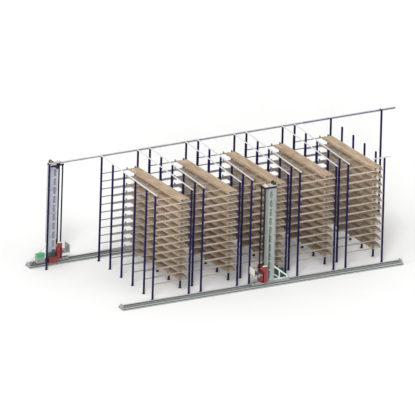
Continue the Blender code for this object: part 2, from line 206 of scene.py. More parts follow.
def copyOf(source, name, matrix):
    obj = source.copy()
    obj.data = source.data.copy()
    obj.name = obj.data.name = name
    obj.data.transform(matrix)
    bpy.context.scene.collection.objects.link(obj)
    return obj


def discard(obj):
    bpy.data.objects.remove(obj, do_unlink=True)


def keepLocal(obj):
    # the place of each point on its own piece, for patterns that follow the piece
    count = len(obj.data.vertices)
    places = np.empty(count * 3, np.float32)
    obj.data.vertices.foreach_get("co", places)
    attribute = obj.data.attributes.new("localPlace", "FLOAT_VECTOR", "POINT")
    attribute.data.foreach_set("vector", places)
    return obj


def giveTones(obj, pointsEach):
    # one random tone for each board or block of so many points
    count = len(obj.data.vertices)
    tones = rng.random(count // pointsEach + 1).astype(np.float32)
    attribute = obj.data.attributes.new("tone", "FLOAT", "POINT")
    attribute.data.foreach_set("value", np.repeat(tones, pointsEach)[:count])
    return obj


def smooth(obj, angle=35):
    makeActive(obj)
    bpy.ops.object.shade_smooth_by_angle(angle=math.radians(angle))
    return obj


def enter(obj, name, material, body="root", nodes=()):
    obj.name = obj.data.name = name
    obj.data.materials.clear()
    obj.data.materials.append(material)
    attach(obj, body)
    if nodes:
        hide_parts(*nodes)
    return obj


# Node groups that several finishes share

def newGroup(name, inputs, outputs):
    group = bpy.data.node_groups.new(name, "ShaderNodeTree")
    for label, kind, value in inputs:
        socket = group.interface.new_socket(name=label, in_out="INPUT", socket_type=kind)
        if value is not None:
            socket.default_value = value
    for label, kind in outputs:
        group.interface.new_socket(name=label, in_out="OUTPUT", socket_type=kind)
    start = group.nodes.new("NodeGroupInput")
    end = group.nodes.new("NodeGroupOutput")
    return group, start, end


def mathNode(tree, operation, first, second=None, clamp=False):
    node = tree.nodes.new("ShaderNodeMath")
    node.operation = operation
    node.use_clamp = clamp
    for place, value in enumerate((first, second)):
        if value is None:
            continue
        if isinstance(value, (int, float)):
            node.inputs[place].default_value = value
        else:
            tree.links.new(value, node.inputs[place])
    return node.outputs[0]


def noiseNode(tree, vector, scale, detail=3.0, roughness=0.55, distortion=0.0):
    node = tree.nodes.new("ShaderNodeTexNoise")
    node.inputs["Detail"].default_value = detail
    node.inputs["Roughness"].default_value = roughness
    node.inputs["Distortion"].default_value = distortion
    tree.links.new(vector, node.inputs["Vector"])
    if isinstance(scale, (int, float)):
        node.inputs["Scale"].default_value = scale
    else:
        tree.links.new(scale, node.inputs["Scale"])
    return node.outputs["Fac"]


def rangeNode(tree, value, low, high, toLow=0.0, toHigh=1.0):
    node = tree.nodes.new("ShaderNodeMapRange")
    for label, number in (("From Min", low), ("From Max", high), ("To Min", toLow), ("To Max", toHigh)):
        node.inputs[label].default_value = number
    tree.links.new(value, node.inputs["Value"])
    return node.outputs["Result"]


wearLook = {"fineness": 9.0, "amountShare": 0.25, "threshold": (0.34, 0.42)}
dustLook = {"slope": (0.3, 1.0), "patchScale": 2.2, "patch": (0.3, 0.7, 0.45, 1.0)}
grainLook = {"shift": {"X": 37.0, "Z": 11.0}, "stretch": (26.0, 2.4, 26.0), "streak": (0.3, 0.7)}
slotLook = {"middle": 0.5, "halfLength": 0.22}


def makeWearGroup():
    group, start, end = newGroup(
        "scuffsAndScratches",
        [
            ("Vector", "NodeSocketVector", None),
            ("Scale", "NodeSocketFloat", 4.0),
            ("Amount", "NodeSocketFloat", 0.3),
        ],
        [("Mask", "NodeSocketFloat"), ("Height", "NodeSocketFloat")],
    )
    broad = noiseNode(group, start.outputs["Vector"], start.outputs["Scale"], detail=5.0, roughness=0.6)
    fineScale = mathNode(group, "MULTIPLY", start.outputs["Scale"], wearLook["fineness"])
    fine = noiseNode(group, start.outputs["Vector"], fineScale, detail=4.0, roughness=0.7, distortion=0.6)
    mixed = mathNode(group, "MULTIPLY", broad, fine)
    share = mathNode(group, "MULTIPLY", start.outputs["Amount"], wearLook["amountShare"])
    lifted = mathNode(group, "ADD", mixed, share)
    mask = rangeNode(group, lifted, *wearLook["threshold"])
    group.links.new(mask, end.inputs["Mask"])
    group.links.new(fine, end.inputs["Height"])
    return group


def makeDustGroup():
    group, start, end = newGroup(
        "settledDust",
        [("Vector", "NodeSocketVector", None), ("Amount", "NodeSocketFloat", 0.5)],
        [("Mask", "NodeSocketFloat")],
    )
    geometry = group.nodes.new("ShaderNodeNewGeometry")
    parts = group.nodes.new("ShaderNodeSeparateXYZ")
    group.links.new(geometry.outputs["Normal"], parts.inputs["Vector"])
    upward = rangeNode(group, parts.outputs["Z"], *dustLook["slope"])
    cloud = noiseNode(group, start.outputs["Vector"], dustLook["patchScale"], detail=6.0, roughness=0.65)
    patch = rangeNode(group, cloud, *dustLook["patch"])
    mask = mathNode(group, "MULTIPLY", upward, patch)
    group.links.new(mathNode(group, "MULTIPLY", mask, start.outputs["Amount"]), end.inputs["Mask"])
    return group


def makeGrainGroup():
    group, start, end = newGroup(
        "sawnGrain",
        [("Vector", "NodeSocketVector", None), ("Tone", "NodeSocketFloat", 0.5)],
        [("Streak", "NodeSocketFloat"), ("Height", "NodeSocketFloat")],
    )
    shift = group.nodes.new("ShaderNodeCombineXYZ")
    for axis, reach in grainLook["shift"].items():
        group.links.new(mathNode(group, "MULTIPLY", start.outputs["Tone"], reach), shift.inputs[axis])
    add = group.nodes.new("ShaderNodeVectorMath")
    group.links.new(start.outputs["Vector"], add.inputs[0])
    group.links.new(shift.outputs["Vector"], add.inputs[1])
    drawn = group.nodes.new("ShaderNodeMapping")
    drawn.inputs["Scale"].default_value = grainLook["stretch"]
    group.links.new(add.outputs["Vector"], drawn.inputs["Vector"])
    streak = noiseNode(group, drawn.outputs["Vector"], 1.0, detail=5.0, roughness=0.6, distortion=0.8)
    group.links.new(rangeNode(group, streak, *grainLook["streak"]), end.inputs["Streak"])
    group.links.new(streak, end.inputs["Height"])
    return group


def makeSlotGroup():
    group, start, end = newGroup(
        "punchedSlots",
        [
            ("Vector", "NodeSocketVector", None),
            ("Offset", "NodeSocketFloat", 0.045),
            ("Half width", "NodeSocketFloat", 0.007),
            ("Pitch", "NodeSocketFloat", 0.075),
        ],
        [("Mask", "NodeSocketFloat")],
    )
    parts = group.nodes.new("ShaderNodeSeparateXYZ")
    group.links.new(start.outputs["Vector"], parts.inputs["Vector"])
    fromMiddle = mathNode(group, "ABSOLUTE", parts.outputs["X"])
    fromRow = mathNode(group, "ABSOLUTE", mathNode(group, "SUBTRACT", fromMiddle, start.outputs["Offset"]))
    across = mathNode(group, "LESS_THAN", fromRow, start.outputs["Half width"])
    along = mathNode(group, "FRACT", mathNode(group, "DIVIDE", parts.outputs["Z"], start.outputs["Pitch"]))
    fromCentre = mathNode(group, "ABSOLUTE", mathNode(group, "SUBTRACT", along, slotLook["middle"]))
    inSlot = mathNode(group, "LESS_THAN", fromCentre, slotLook["halfLength"])
    group.links.new(mathNode(group, "MULTIPLY", across, inSlot), end.inputs["Mask"])
    return group


groups = {
    "wear": makeWearGroup(),
    "dust": makeDustGroup(),
    "grain": makeGrainGroup(),
    "slots": makeSlotGroup(),
}


# the colour sockets of the mix node, which has others with the same labels
mixSockets = {"first": 6, "second": 7, "mixed": 2}


def mixColour(tree, factor, first, second):
    node = tree.nodes.new("ShaderNodeMix")
    node.data_type = "RGBA"
    tree.links.new(factor, node.inputs["Factor"])
    for place, value in ((mixSockets["first"], first), (mixSockets["second"], second)):
        if isinstance(value, tuple):
            node.inputs[place].default_value = (*value, 1.0)
        else:
            tree.links.new(value, node.inputs[place])
    return node.outputs[mixSockets["mixed"]]


def placeGroup(tree, key, vector, **values):
    node = tree.nodes.new("ShaderNodeGroup")
    node.node_tree = groups[key]
    tree.links.new(vector, node.inputs["Vector"])
    for label, value in values.items():
        name = label.replace("_", " ").capitalize()
        if isinstance(value, (int, float)):
            node.inputs[name].default_value = value
        else:
            tree.links.new(value, node.inputs[name])
    return node


def startMaterial(name):
    material = bpy.data.materials.new(name)
    material.use_nodes = True
    tree = material.node_tree
    shader = tree.nodes["Principled BSDF"]
    coordinates = tree.nodes.new("ShaderNodeTexCoord")
    return material, tree, shader, coordinates.outputs["Object"]


paintedShadeSpan = (0.5, 10.5)


def paintShadeLow(tree, place, colour, paintedShadeAtFloor):
    # painted shade: the colour is darkened towards the floor, so the low levels are darker
    parts = tree.nodes.new("ShaderNodeSeparateXYZ")
    tree.links.new(place, parts.inputs["Vector"])
    scale = tree.nodes.new("ShaderNodeVectorMath")
    scale.operation = "SCALE"
    tree.links.new(colour, scale.inputs[0])
    tree.links.new(rangeNode(tree, parts.outputs["Z"], *paintedShadeSpan, paintedShadeAtFloor), scale.inputs["Scale"])
    return scale.outputs["Vector"]


def bumpFrom(tree, shader, height, strength, distance):
    bump = tree.nodes.new("ShaderNodeBump")
    bump.inputs["Strength"].default_value = strength
    bump.inputs["Distance"].default_value = distance
    tree.links.new(height, bump.inputs["Height"])
    tree.links.new(bump.outputs["Normal"], shader.inputs["Normal"])


dustGrey = (0.42, 0.4, 0.38)
coatLook = {
    "patchScale": 0.7,
    "patch": (0.3, 0.7),
    "patchShade": 0.78,
    "scuffScale": 3.5,
    "scuffShow": 0.55,
    "scuffRoughness": 0.2,
    "dustRoughness": 0.3,
    "slotColour": (0.004, 0.004, 0.006),
    "bump": (0.15, 0.004),
}


def coatedSteel(name, colour, bare, roughness, wear=0.3, dust=0.3, dustColour=dustGrey, slots=False,
                gloss=0.5, paintedShadeAtFloor=1.0):
    material, tree, shader, place = startMaterial(name)
    broad = noiseNode(tree, place, coatLook["patchScale"], detail=4.0, roughness=0.6)
    darker = tuple(channel * coatLook["patchShade"] for channel in colour)
    tinted = mixColour(tree, rangeNode(tree, broad, *coatLook["patch"]), darker, colour)
    scuffs = placeGroup(tree, "wear", place, scale=coatLook["scuffScale"], amount=wear)
    scuffed = mathNode(tree, "MULTIPLY", scuffs.outputs["Mask"], coatLook["scuffShow"])
    worn = mixColour(tree, scuffed, tinted, bare)
    if slots:
        local = tree.nodes.new("ShaderNodeAttribute")
        local.attribute_name = "localPlace"
        holes = placeGroup(tree, "slots", local.outputs["Vector"])
        worn = mixColour(tree, holes.outputs["Mask"], worn, coatLook["slotColour"])
    settled = placeGroup(tree, "dust", place, amount=dust)
    dusted = mixColour(tree, settled.outputs["Mask"], worn, dustColour)
    # painted shade: the coat is darkened towards the floor
    if paintedShadeAtFloor < 1.0:
        dusted = paintShadeLow(tree, place, dusted, paintedShadeAtFloor)
    tree.links.new(dusted, shader.inputs["Base Color"])
    shader.inputs["Specular IOR Level"].default_value = gloss
    scuffRough = mathNode(tree, "MULTIPLY", scuffs.outputs["Mask"], coatLook["scuffRoughness"])
    dustRough = mathNode(tree, "MULTIPLY", settled.outputs["Mask"], coatLook["dustRoughness"])
    rough = mathNode(tree, "ADD", scuffRough, roughness, clamp=True)
    tree.links.new(mathNode(tree, "ADD", rough, dustRough, clamp=True), shader.inputs["Roughness"])
    bumpFrom(tree, shader, scuffs.outputs["Height"], *coatLook["bump"])
    return material


metalLook = {
    "spangleScale": 14.0,
    "spangle": (0.0, 0.7),
    "scuffScale": 2.0,
    "scuffAmount": 0.2,
    "scuffShow": 0.35,
    "sheen": (0.0, 0.8),
    "smoother": 0.08,
    "rougher": 0.12,
    "bump": (0.12, 0.003),
}


def bareMetal(name, colour, streak, roughness, metallic, dustColour, dust=0.3):
    material, tree, shader, place = startMaterial(name)
    spangle = tree.nodes.new("ShaderNodeTexVoronoi")
    spangle.inputs["Scale"].default_value = metalLook["spangleScale"]
    tree.links.new(place, spangle.inputs["Vector"])
    distance = spangle.outputs["Distance"]
    base = mixColour(tree, rangeNode(tree, distance, *metalLook["spangle"]), colour, streak)
    scuffs = placeGroup(tree, "wear", place, scale=metalLook["scuffScale"], amount=metalLook["scuffAmount"])
    scuffed = mathNode(tree, "MULTIPLY", scuffs.outputs["Mask"], metalLook["scuffShow"])
    stained = mixColour(tree, scuffed, base, streak)
    settled = placeGroup(tree, "dust", place, amount=dust)
    tree.links.new(mixColour(tree, settled.outputs["Mask"], stained, dustColour), shader.inputs["Base Color"])
    low, high = roughness - metalLook["smoother"], roughness + metalLook["rougher"]
    tree.links.new(rangeNode(tree, distance, *metalLook["sheen"], low, high), shader.inputs["Roughness"])
    shader.inputs["Metallic"].default_value = metallic
    bumpFrom(tree, shader, scuffs.outputs["Height"], *metalLook["bump"])
    return material


woodLook = {
    "streakShow": 0.55,
    "scuffScale": 1.3,
    "scuffAmount": 0.4,
    "scuffShow": 0.3,
    "endGrainAndShade": (0.7, 0.95, 0.0, 0.75),
    "endGrainAndShadeColour": (0.2, 0.18, 0.155),
    "dustAmount": 0.25,
    "dustColour": (0.6, 0.52, 0.43),
    "paintedShadeAtFloor": 0.56,
    "roughness": (0.2, 0.8, 0.72, 0.9),
    "bump": (0.35, 0.004),
}


def sawnWood(name, pale, deep, stain):
    material, tree, shader, place = startMaterial(name)
    local = tree.nodes.new("ShaderNodeAttribute")
    local.attribute_name = "localPlace"
    tone = tree.nodes.new("ShaderNodeAttribute")
    tone.attribute_name = "tone"
    grain = placeGroup(tree, "grain", local.outputs["Vector"], tone=tone.outputs["Fac"])
    board = mixColour(tree, tone.outputs["Fac"], pale, stain)
    streak = mathNode(tree, "MULTIPLY", grain.outputs["Streak"], woodLook["streakShow"])
    streaked = mixColour(tree, streak, board, deep)
    scuffs = placeGroup(tree, "wear", place, scale=woodLook["scuffScale"], amount=woodLook["scuffAmount"])
    scuffed = mathNode(tree, "MULTIPLY", scuffs.outputs["Mask"], woodLook["scuffShow"])
    dirty = mixColour(tree, scuffed, streaked, deep)
    # the faces that look along Y are darkened: end grain on the ends of the deck boards and runners, painted
    # shade on the front and back faces of the blocks and cross boards
    geometry = tree.nodes.new("ShaderNodeNewGeometry")
    parts = tree.nodes.new("ShaderNodeSeparateXYZ")
    tree.links.new(geometry.outputs["Normal"], parts.inputs["Vector"])
    lengthways = mathNode(tree, "ABSOLUTE", parts.outputs["Y"])
    sawnAndShaded = mixColour(tree, rangeNode(tree, lengthways, *woodLook["endGrainAndShade"]), dirty, woodLook["endGrainAndShadeColour"])
    settled = placeGroup(tree, "dust", place, amount=woodLook["dustAmount"])
    dusted = mixColour(tree, settled.outputs["Mask"], sawnAndShaded, woodLook["dustColour"])
    # painted shade: the wood is darkened towards the floor
    tree.links.new(paintShadeLow(tree, place, dusted, woodLook["paintedShadeAtFloor"]), shader.inputs["Base Color"])
    rough = rangeNode(tree, grain.outputs["Height"], *woodLook["roughness"])
    tree.links.new(rough, shader.inputs["Roughness"])
    bumpFrom(tree, shader, grain.outputs["Height"], *woodLook["bump"])
    return material


coats = {
    "uprightNavy": {
        "colour": (0.014, 0.011, 0.062), "bare": (0.06, 0.055, 0.1), "roughness": 0.5, "wear": 0.2,
        "dust": 0.12, "slots": True, "gloss": 0.15,
    },
    "beamCream": {
        "colour": (0.42, 0.36, 0.3), "bare": (0.25, 0.21, 0.18), "roughness": 0.55,
        "dustColour": (0.46, 0.41, 0.35), "paintedShadeAtFloor": 0.6,
    },
    "beamGrey": {
        "colour": (0.25, 0.24, 0.25), "bare": (0.15, 0.15, 0.15), "roughness": 0.5,
        "dustColour": (0.3, 0.29, 0.29),
    },
    "beamTan": {
        "colour": (0.35, 0.305, 0.265), "bare": (0.2, 0.18, 0.16), "roughness": 0.5,
        "dustColour": (0.4, 0.36, 0.31), "paintedShadeAtFloor": 0.65,
    },
    "guideGrey": {
        "colour": (0.17, 0.17, 0.18), "bare": (0.12, 0.12, 0.12), "roughness": 0.5, "wear": 0.25,
        "dust": 0.2, "dustColour": (0.25, 0.25, 0.25),
    },
    "guideNavy": {
        "colour": (0.05, 0.05, 0.09), "bare": (0.07, 0.07, 0.1), "roughness": 0.5, "wear": 0.25,
        "dust": 0.2, "dustColour": (0.15, 0.15, 0.18),
    },
    "guidePale": {
        "colour": (0.5, 0.5, 0.54), "bare": (0.3, 0.3, 0.33), "roughness": 0.45, "wear": 0.25,
        "dustColour": (0.55, 0.55, 0.57),
    },
    "columnBlack": {
        "colour": (0.006, 0.006, 0.014), "bare": (0.02, 0.02, 0.03), "roughness": 0.4, "wear": 0.2,
        "dust": 0.1, "dustColour": (0.05, 0.05, 0.07), "gloss": 0.2,
    },
    "columnNavy": {
        "colour": (0.009, 0.008, 0.024), "bare": (0.04, 0.04, 0.05), "roughness": 0.4, "wear": 0.2,
        "dust": 0.1, "gloss": 0.2,
    },
    "tieWhite": {
        "colour": (0.62, 0.62, 0.635), "bare": (0.4, 0.4, 0.42), "roughness": 0.4, "wear": 0.25,
        "dustColour": (0.66, 0.66, 0.67),
    },
    "railOchre": {
        "colour": (0.42, 0.31, 0.21), "bare": (0.25, 0.19, 0.13), "roughness": 0.5, "wear": 0.35,
        "dustColour": (0.5, 0.42, 0.33), "paintedShadeAtFloor": 0.6,
    },
    "capOlive": {
        "colour": (0.09, 0.075, 0.05), "bare": (0.05, 0.05, 0.04), "roughness": 0.6,
        "dustColour": (0.2, 0.17, 0.13),
    },
    "machineGrey": {"colour": (0.27, 0.285, 0.28), "bare": (0.14, 0.15, 0.15), "roughness": 0.42},
    "mastGrey": {
        "colour": (0.25, 0.275, 0.26), "bare": (0.16, 0.18, 0.17), "roughness": 0.42, "wear": 0.25,
        "dust": 0.2,
    },
    "mastLilac": {
        "colour": (0.36, 0.37, 0.44), "bare": (0.24, 0.24, 0.29), "roughness": 0.42, "wear": 0.25,
        "dust": 0.2,
    },
    "sheaveOlive": {"colour": (0.15, 0.15, 0.11), "bare": (0.08, 0.08, 0.06), "roughness": 0.5},
    "motorGreen": {
        "colour": (0.015, 0.05, 0.035), "bare": (0.02, 0.03, 0.025), "roughness": 0.45,
        "dustColour": (0.12, 0.13, 0.12),
    },
    "oiledGrey": {
        "colour": (0.1, 0.11, 0.11), "bare": (0.06, 0.06, 0.06), "roughness": 0.45, "wear": 0.4,
        "dustColour": (0.2, 0.2, 0.19),
    },
    "machineRed": {
        "colour": (0.19, 0.018, 0.021), "bare": (0.08, 0.02, 0.02), "roughness": 0.4, "wear": 0.35,
        "dust": 0.2, "dustColour": (0.22, 0.1, 0.1),
    },
    "cabinetGreen": {
        "colour": (0.05, 0.36, 0.13), "bare": (0.04, 0.12, 0.07), "roughness": 0.4, "wear": 0.25,
        "dustColour": (0.3, 0.45, 0.33),
    },
    "guardCream": {"colour": (0.62, 0.57, 0.48), "bare": (0.35, 0.32, 0.28), "roughness": 0.45},
    "conduitGreen": {
        "colour": (0.008, 0.035, 0.02), "bare": (0.03, 0.05, 0.04), "roughness": 0.5, "wear": 0.2,
        "dust": 0.2, "dustColour": (0.1, 0.12, 0.1),
    },
    "blackRubber": {
        "colour": (0.02, 0.02, 0.022), "bare": (0.05, 0.05, 0.05), "roughness": 0.75, "wear": 0.2,
        "dust": 0.4,
    },
}
metals = {
    "trackZinc": {
        "colour": (0.3, 0.32, 0.315), "streak": (0.2, 0.22, 0.21), "roughness": 0.45, "metallic": 0.25,
        "dust": 0.4, "dustColour": (0.5, 0.52, 0.51),
    },
    # painted shade: a dark copy of the track steel for the side beams' webs
    "trackShade": {
        "colour": (0.12, 0.13, 0.125), "streak": (0.08, 0.085, 0.08), "roughness": 0.6, "metallic": 0.2,
        "dustColour": (0.2, 0.2, 0.2),
    },
    # painted light: a bright copy of the track steel for the side beams' flanges
    "flangeZinc": {
        "colour": (0.6, 0.62, 0.61), "streak": (0.45, 0.47, 0.46), "roughness": 0.4, "metallic": 0.25,
        "dust": 0.4, "dustColour": (0.7, 0.71, 0.7),
    },
    "runningSteel": {
        "colour": (0.4, 0.41, 0.42), "streak": (0.27, 0.28, 0.28), "roughness": 0.35, "metallic": 0.45,
        "dust": 0.1, "dustColour": (0.4, 0.4, 0.4),
    },
    "rollerZinc": {
        "colour": (0.36, 0.33, 0.27), "streak": (0.22, 0.2, 0.16), "roughness": 0.45, "metallic": 0.3,
        "dustColour": (0.42, 0.38, 0.32),
    },
    "oiledSteel": {
        "colour": (0.045, 0.045, 0.05), "streak": (0.02, 0.02, 0.022), "roughness": 0.38,
        "metallic": 0.8, "dustColour": (0.2, 0.19, 0.18),
    },
    "brightSteel": {
        "colour": (0.55, 0.55, 0.56), "streak": (0.38, 0.38, 0.4), "roughness": 0.3, "metallic": 0.95,
        "dust": 0.15, "dustColour": (0.5, 0.5, 0.5),
    },
}
woods = {
    "palletWood": {
        "pale": (0.69, 0.545, 0.39), "deep": (0.27, 0.15, 0.075), "stain": (0.42, 0.28, 0.16),
    },
}
finishes = {}
for makeFinish, looks in ((coatedSteel, coats), (bareMetal, metals), (sawnWood, woods)):
    for name, values in looks.items():
        finishes[name] = makeFinish(name, **values)
print("stage 2: finishes made")


# Sizes are in metres, and places are read from the frame where it has them

upright = {
    "width": 0.16,
    "depth": 0.14,
    "height": 11.23,
    "wall": 0.006,
    "lip": 0.03,
    "corner": 0.014,
    "longEdge": 1.0,
    "openHalf": 0.01,
    "openReach": 1.0,
    "footWidth": 0.28,
    "footDepth": 0.24,
    "footThickness": 0.02,
    "boltRadius": 0.012,
    "boltHeight": 0.05,
    "boltInset": 0.035,
    "studShare": 0.7,
    "nutShare": 1.6,
    "nutHeight": 0.024,
    "gussetPlace": 0.084,
    "gussetHalf": 0.004,
    "gussetReach": 0.06,
    "gussetTop": 0.14,
    "sink": 0.002,
}
bay = {"width": 4.08, "deepRow": 2.43, "deepRows": 4, "frontRow": 1.885}
endPostLow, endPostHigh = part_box("rail_end_post")
rearRowY = (endPostLow.y + endPostHigh.y) / 2
frontRowY = rearRowY - bay["deepRows"] * bay["deepRow"] - bay["frontRow"]


def frameNode(rack, row):
    return f"rack_{rack + 1}_frame_{row + 1}"


def postPlace(rack, row):
    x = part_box(frameNode(rack, row))[0].x + upright["footWidth"] / 2
    if row > bay["deepRows"]:
        return x, frontRowY
    return x, rearRowY - row * bay["deepRow"]


def isLong(edge):
    a, b = (vert.co for vert in edge.verts)
    return abs(a.z - b.z) > upright["longEdge"]


def isOpenSide(normal, middle):
    # the middle of the post's front, inside the two lips
    fromMiddle = abs(middle.z - upright["height"] / 2)
    central = abs(middle.x) < upright["openHalf"] and fromMiddle < upright["openReach"]
    return central and normal.y < -squareOn


def makePost():
    halfW, halfD = upright["width"] / 2, upright["depth"] / 2
    post = startBox((-halfW, -halfD, upright["footThickness"]), (halfW, halfD, upright["height"]))
    makeActive(post)
    bpy.ops.object.mode_set(mode="EDIT")
    bpy.ops.mesh.select_mode(type="EDGE")
    bpy.ops.mesh.select_all(action="DESELECT")
    mesh = bmesh.from_edit_mesh(post.data)
    for edge in mesh.edges:
        edge.select_set(isLong(edge))
    bmesh.update_edit_mesh(post.data)
    bpy.ops.mesh.bevel(offset=upright["corner"], segments=3, affect="EDGES")
    leaveEdit()
    insetFaces(post, facing("Y", -1), upright["lip"])
    deleteFaces(post, isOpenSide)
    deleteFaces(post, facing("Z"))
    giveWall(post, upright["wall"])
    return post


def makeFoot():
    halfW, halfD = upright["footWidth"] / 2, upright["footDepth"] / 2
    thickness, inset = upright["footThickness"], upright["boltInset"]
    pieces = [bar((-halfW, halfW), (-halfD, halfD), (0, thickness), bevel=0.004)]
    top = thickness + upright["boltHeight"]
    for sideX in (-1, 1):
        for sideY in (-1, 1):
            x, y = sideX * (halfW - inset), sideY * (halfD - inset)
            stud = startRound((x, y, top / 2), upright["boltRadius"] * upright["studShare"], top, sides=10)
            nutPlace = (x, y, thickness + upright["nutHeight"] / 2)
            nutRadius = upright["boltRadius"] * upright["nutShare"]
            nut = startRound(nutPlace, nutRadius, upright["nutHeight"], sides=6)
            pieces += [stud, roundEdges(nut, 0.002)]
    for side in (-1, 1):
        pieces.append(bar(around(side * upright["gussetPlace"], upright["gussetHalf"]),
                          around(0, upright["gussetReach"]),
                          (thickness - upright["sink"], upright["gussetTop"]), bevel=0.002, segments=1))
    return join(pieces)


onePost = keepLocal(makePost())
oneFoot = keepLocal(makeFoot())
for rack in range(site["racks"]):
    for row in range(site["rows"]):
        x, y = postPlace(rack, row)
        both = []
        for offset in (0.0, bay["width"]):
            shift = Matrix.Translation((x + offset, y, 0))
            both += [copyOf(onePost, "post", shift), copyOf(oneFoot, "foot", shift)]
        enter(join(both), f"rack_{rack + 1}_row_{row + 1}_posts", finishes["uprightNavy"],
              nodes=[frameNode(rack, row)])
railPostPlaces = {}
for node in ("rail_start_post", "rail_end_post"):
    low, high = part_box(node)
    railPostPlaces[node] = (low.x + high.x) / 2
    shift = Matrix.Translation((railPostPlaces[node], rearRowY, 0))
    railPost = join([copyOf(onePost, "post", shift), copyOf(oneFoot, "foot", shift)])
    enter(railPost, f"{node}_channel", finishes["uprightNavy"], nodes=[node])
discard(onePost)
discard(oneFoot)
print("stage 3: posts made")

beam = {
    "height": 0.1,
    "depth": 0.05,
    "fold": (0.022, -0.006),
    "lowestTop": 1.12,
    "seatGap": 0.0015,
    "plateHeight": 0.19,
    "plateDepth": 0.07,
    "plateThickness": 0.006,
    "plateDrop": 0.045,
}
# painted shade: the beams of the three rear rows are grey and the fourth row's are tan, darker than the cream
# of the two front rows
beamFinishes = ("beamGrey", "beamGrey", "beamGrey", "beamTan", "beamCream", "beamCream")


def makeBeamSet():
    startX = upright["width"] / 2
    endX = bay["width"] - startX
    half = beam["depth"] / 2
    pieces = [bar((startX, endX), (-half, half), (-beam["height"], 0), bevel=0.004, faces=facing("Y"),
                  panel=beam["fold"], segments=1)]
    low = -beam["height"] - beam["plateDrop"]
    high = beam["plateHeight"] - beam["height"] - beam["plateDrop"]
    for edge, side in ((startX, 1), (endX, -1)):
        pieces.append(bar((edge, edge + side * beam["plateThickness"]), around(0, beam["plateDepth"] / 2),
                          (low, high), bevel=0.002, segments=1))
    return repeat(keepLocal(join(pieces)), site["levels"], (0, 0, site["levelPitch"]))


beamSet = makeBeamSet()
for rack in range(site["racks"]):
    for row in range(site["rows"]):
        x, y = postPlace(rack, row)
        top = beam["lowestTop"] + site["laneSlope"] * (rearRowY - y) - beam["seatGap"]
        name = f"rack_{rack + 1}_row_{row + 1}_beams"
        rowBeams = copyOf(beamSet, name, Matrix.Translation((x, y, top)))
        enter(rowBeams, name, finishes[beamFinishes[row]], nodes=[frameNode(rack, row)])
discard(beamSet)
print("stage 4: beams made")

lane = {
    "leftRail": 2.9,
    "spacing": 0.92,
    "railWidth": 0.06,
    "railHeight": 0.12,
    "railDrop": 0.006,
    "overhang": 0.1,
    "lift": 0.001,
    "wall": 0.005,
    "guideHalf": 0.004,
    "guideInset": 0.006,
    "guideStart": 0.3,
    "guideSink": 0.008,
    "guideRise": 0.045,
    "capLength": 0.2,
    "capGap": 0.002,
    "capLip": 0.004,
    "capRise": 0.05,
    "ties": 6,
    "tieMargin": 0.25,
    "tieHalf": 0.02,
    "tieSink": 0.01,
    "tieSpan": (0.004, 0.034),
    "rollerRadius": 0.029,
    "rollerPitch": 0.24,
    "rollerStart": 0.1,
    "rollerRise": 0.002,
    "rollerGap": 0.004,
    "rollerEnd": (0.012, -0.004),
    "openEnd": 0.62,
    "openStart": 0.15,
}
laneAngle = math.atan(site["laneSlope"])
stretch = 1 / math.cos(laneAngle)
laneRear = lane["overhang"] * stretch
laneFront = (frontRowY - rearRowY - lane["overhang"]) * stretch
lanePlaces = (lane["leftRail"], lane["leftRail"] + lane["spacing"])


def laneMatrix(rack):
    x = postPlace(rack, 0)[0]
    place = Matrix.Translation((x, rearRowY, beam["lowestTop"] + lane["lift"]))
    return place @ Matrix.Rotation(-laneAngle, 4, "X")


def upLevels(obj):
    # the levels stand above one another, so the step leans in the tilted lane's own directions
    pitch = site["levelPitch"]
    return repeat(obj, site["levels"], (0.0, -pitch * math.sin(laneAngle), pitch * math.cos(laneAngle)))


def makeRails():
    half = lane["railWidth"] / 2
    height = lane["railHeight"]
    pieces = []
    for railX, inward in zip(lanePlaces, (1, -1)):
        rail = startBox((railX - half, laneFront, 0), (railX + half, laneRear, height - lane["railDrop"]))
        deleteFaces(rail, facing("Y"))
        deleteFaces(rail, facing("X", inward))
        guideX = railX - inward * (half - lane["guideInset"])
        guide = bar(around(guideX, lane["guideHalf"]), (laneFront + lane["guideStart"], laneRear),
                    (height - lane["guideSink"], height + lane["guideRise"]), bevel=0.002, segments=1)
        pieces += [giveWall(rail, lane["wall"]), guide]
    margin, ties = lane["tieMargin"], lane["ties"]
    tieReach = half - lane["tieSink"]
    for index in range(ties):
        tieY = laneFront + margin + index * (laneRear - laneFront - 2 * margin) / (ties - 1)
        spanX = (lanePlaces[0] + tieReach, lanePlaces[1] - tieReach)
        pieces.append(bar(spanX, around(tieY, lane["tieHalf"]), lane["tieSpan"], bevel=0.002, segments=1))
    return upLevels(join(pieces))


def makeEndCaps():
    reach = lane["railWidth"] / 2 + lane["capLip"]
    caps = []
    for railX in lanePlaces:
        caps.append(bar(around(railX, reach), (laneRear - lane["capLength"], laneRear - lane["capGap"]),
                        (-lane["capLip"], lane["railHeight"] + lane["capRise"])))
    return upLevels(join(caps))


def makeRollers():
    middle = lane["leftRail"] + lane["spacing"] / 2
    height = lane["railHeight"] - lane["rollerRadius"] + lane["rollerRise"]
    width = lane["spacing"] - lane["railWidth"] - lane["rollerGap"]
    rollerPlace = (middle, laneFront + lane["rollerStart"], height)
    roller = startRound(rollerPlace, lane["rollerRadius"], width, "X", sides=8)
    insetFaces(roller, facing("X"), *lane["rollerEnd"])
    smooth(roller, angle=50)
    length = -laneFront - lane["openEnd"] - lane["openStart"]
    repeat(roller, int(length / lane["rollerPitch"]), (0, lane["rollerPitch"], 0))
    return upLevels(roller)


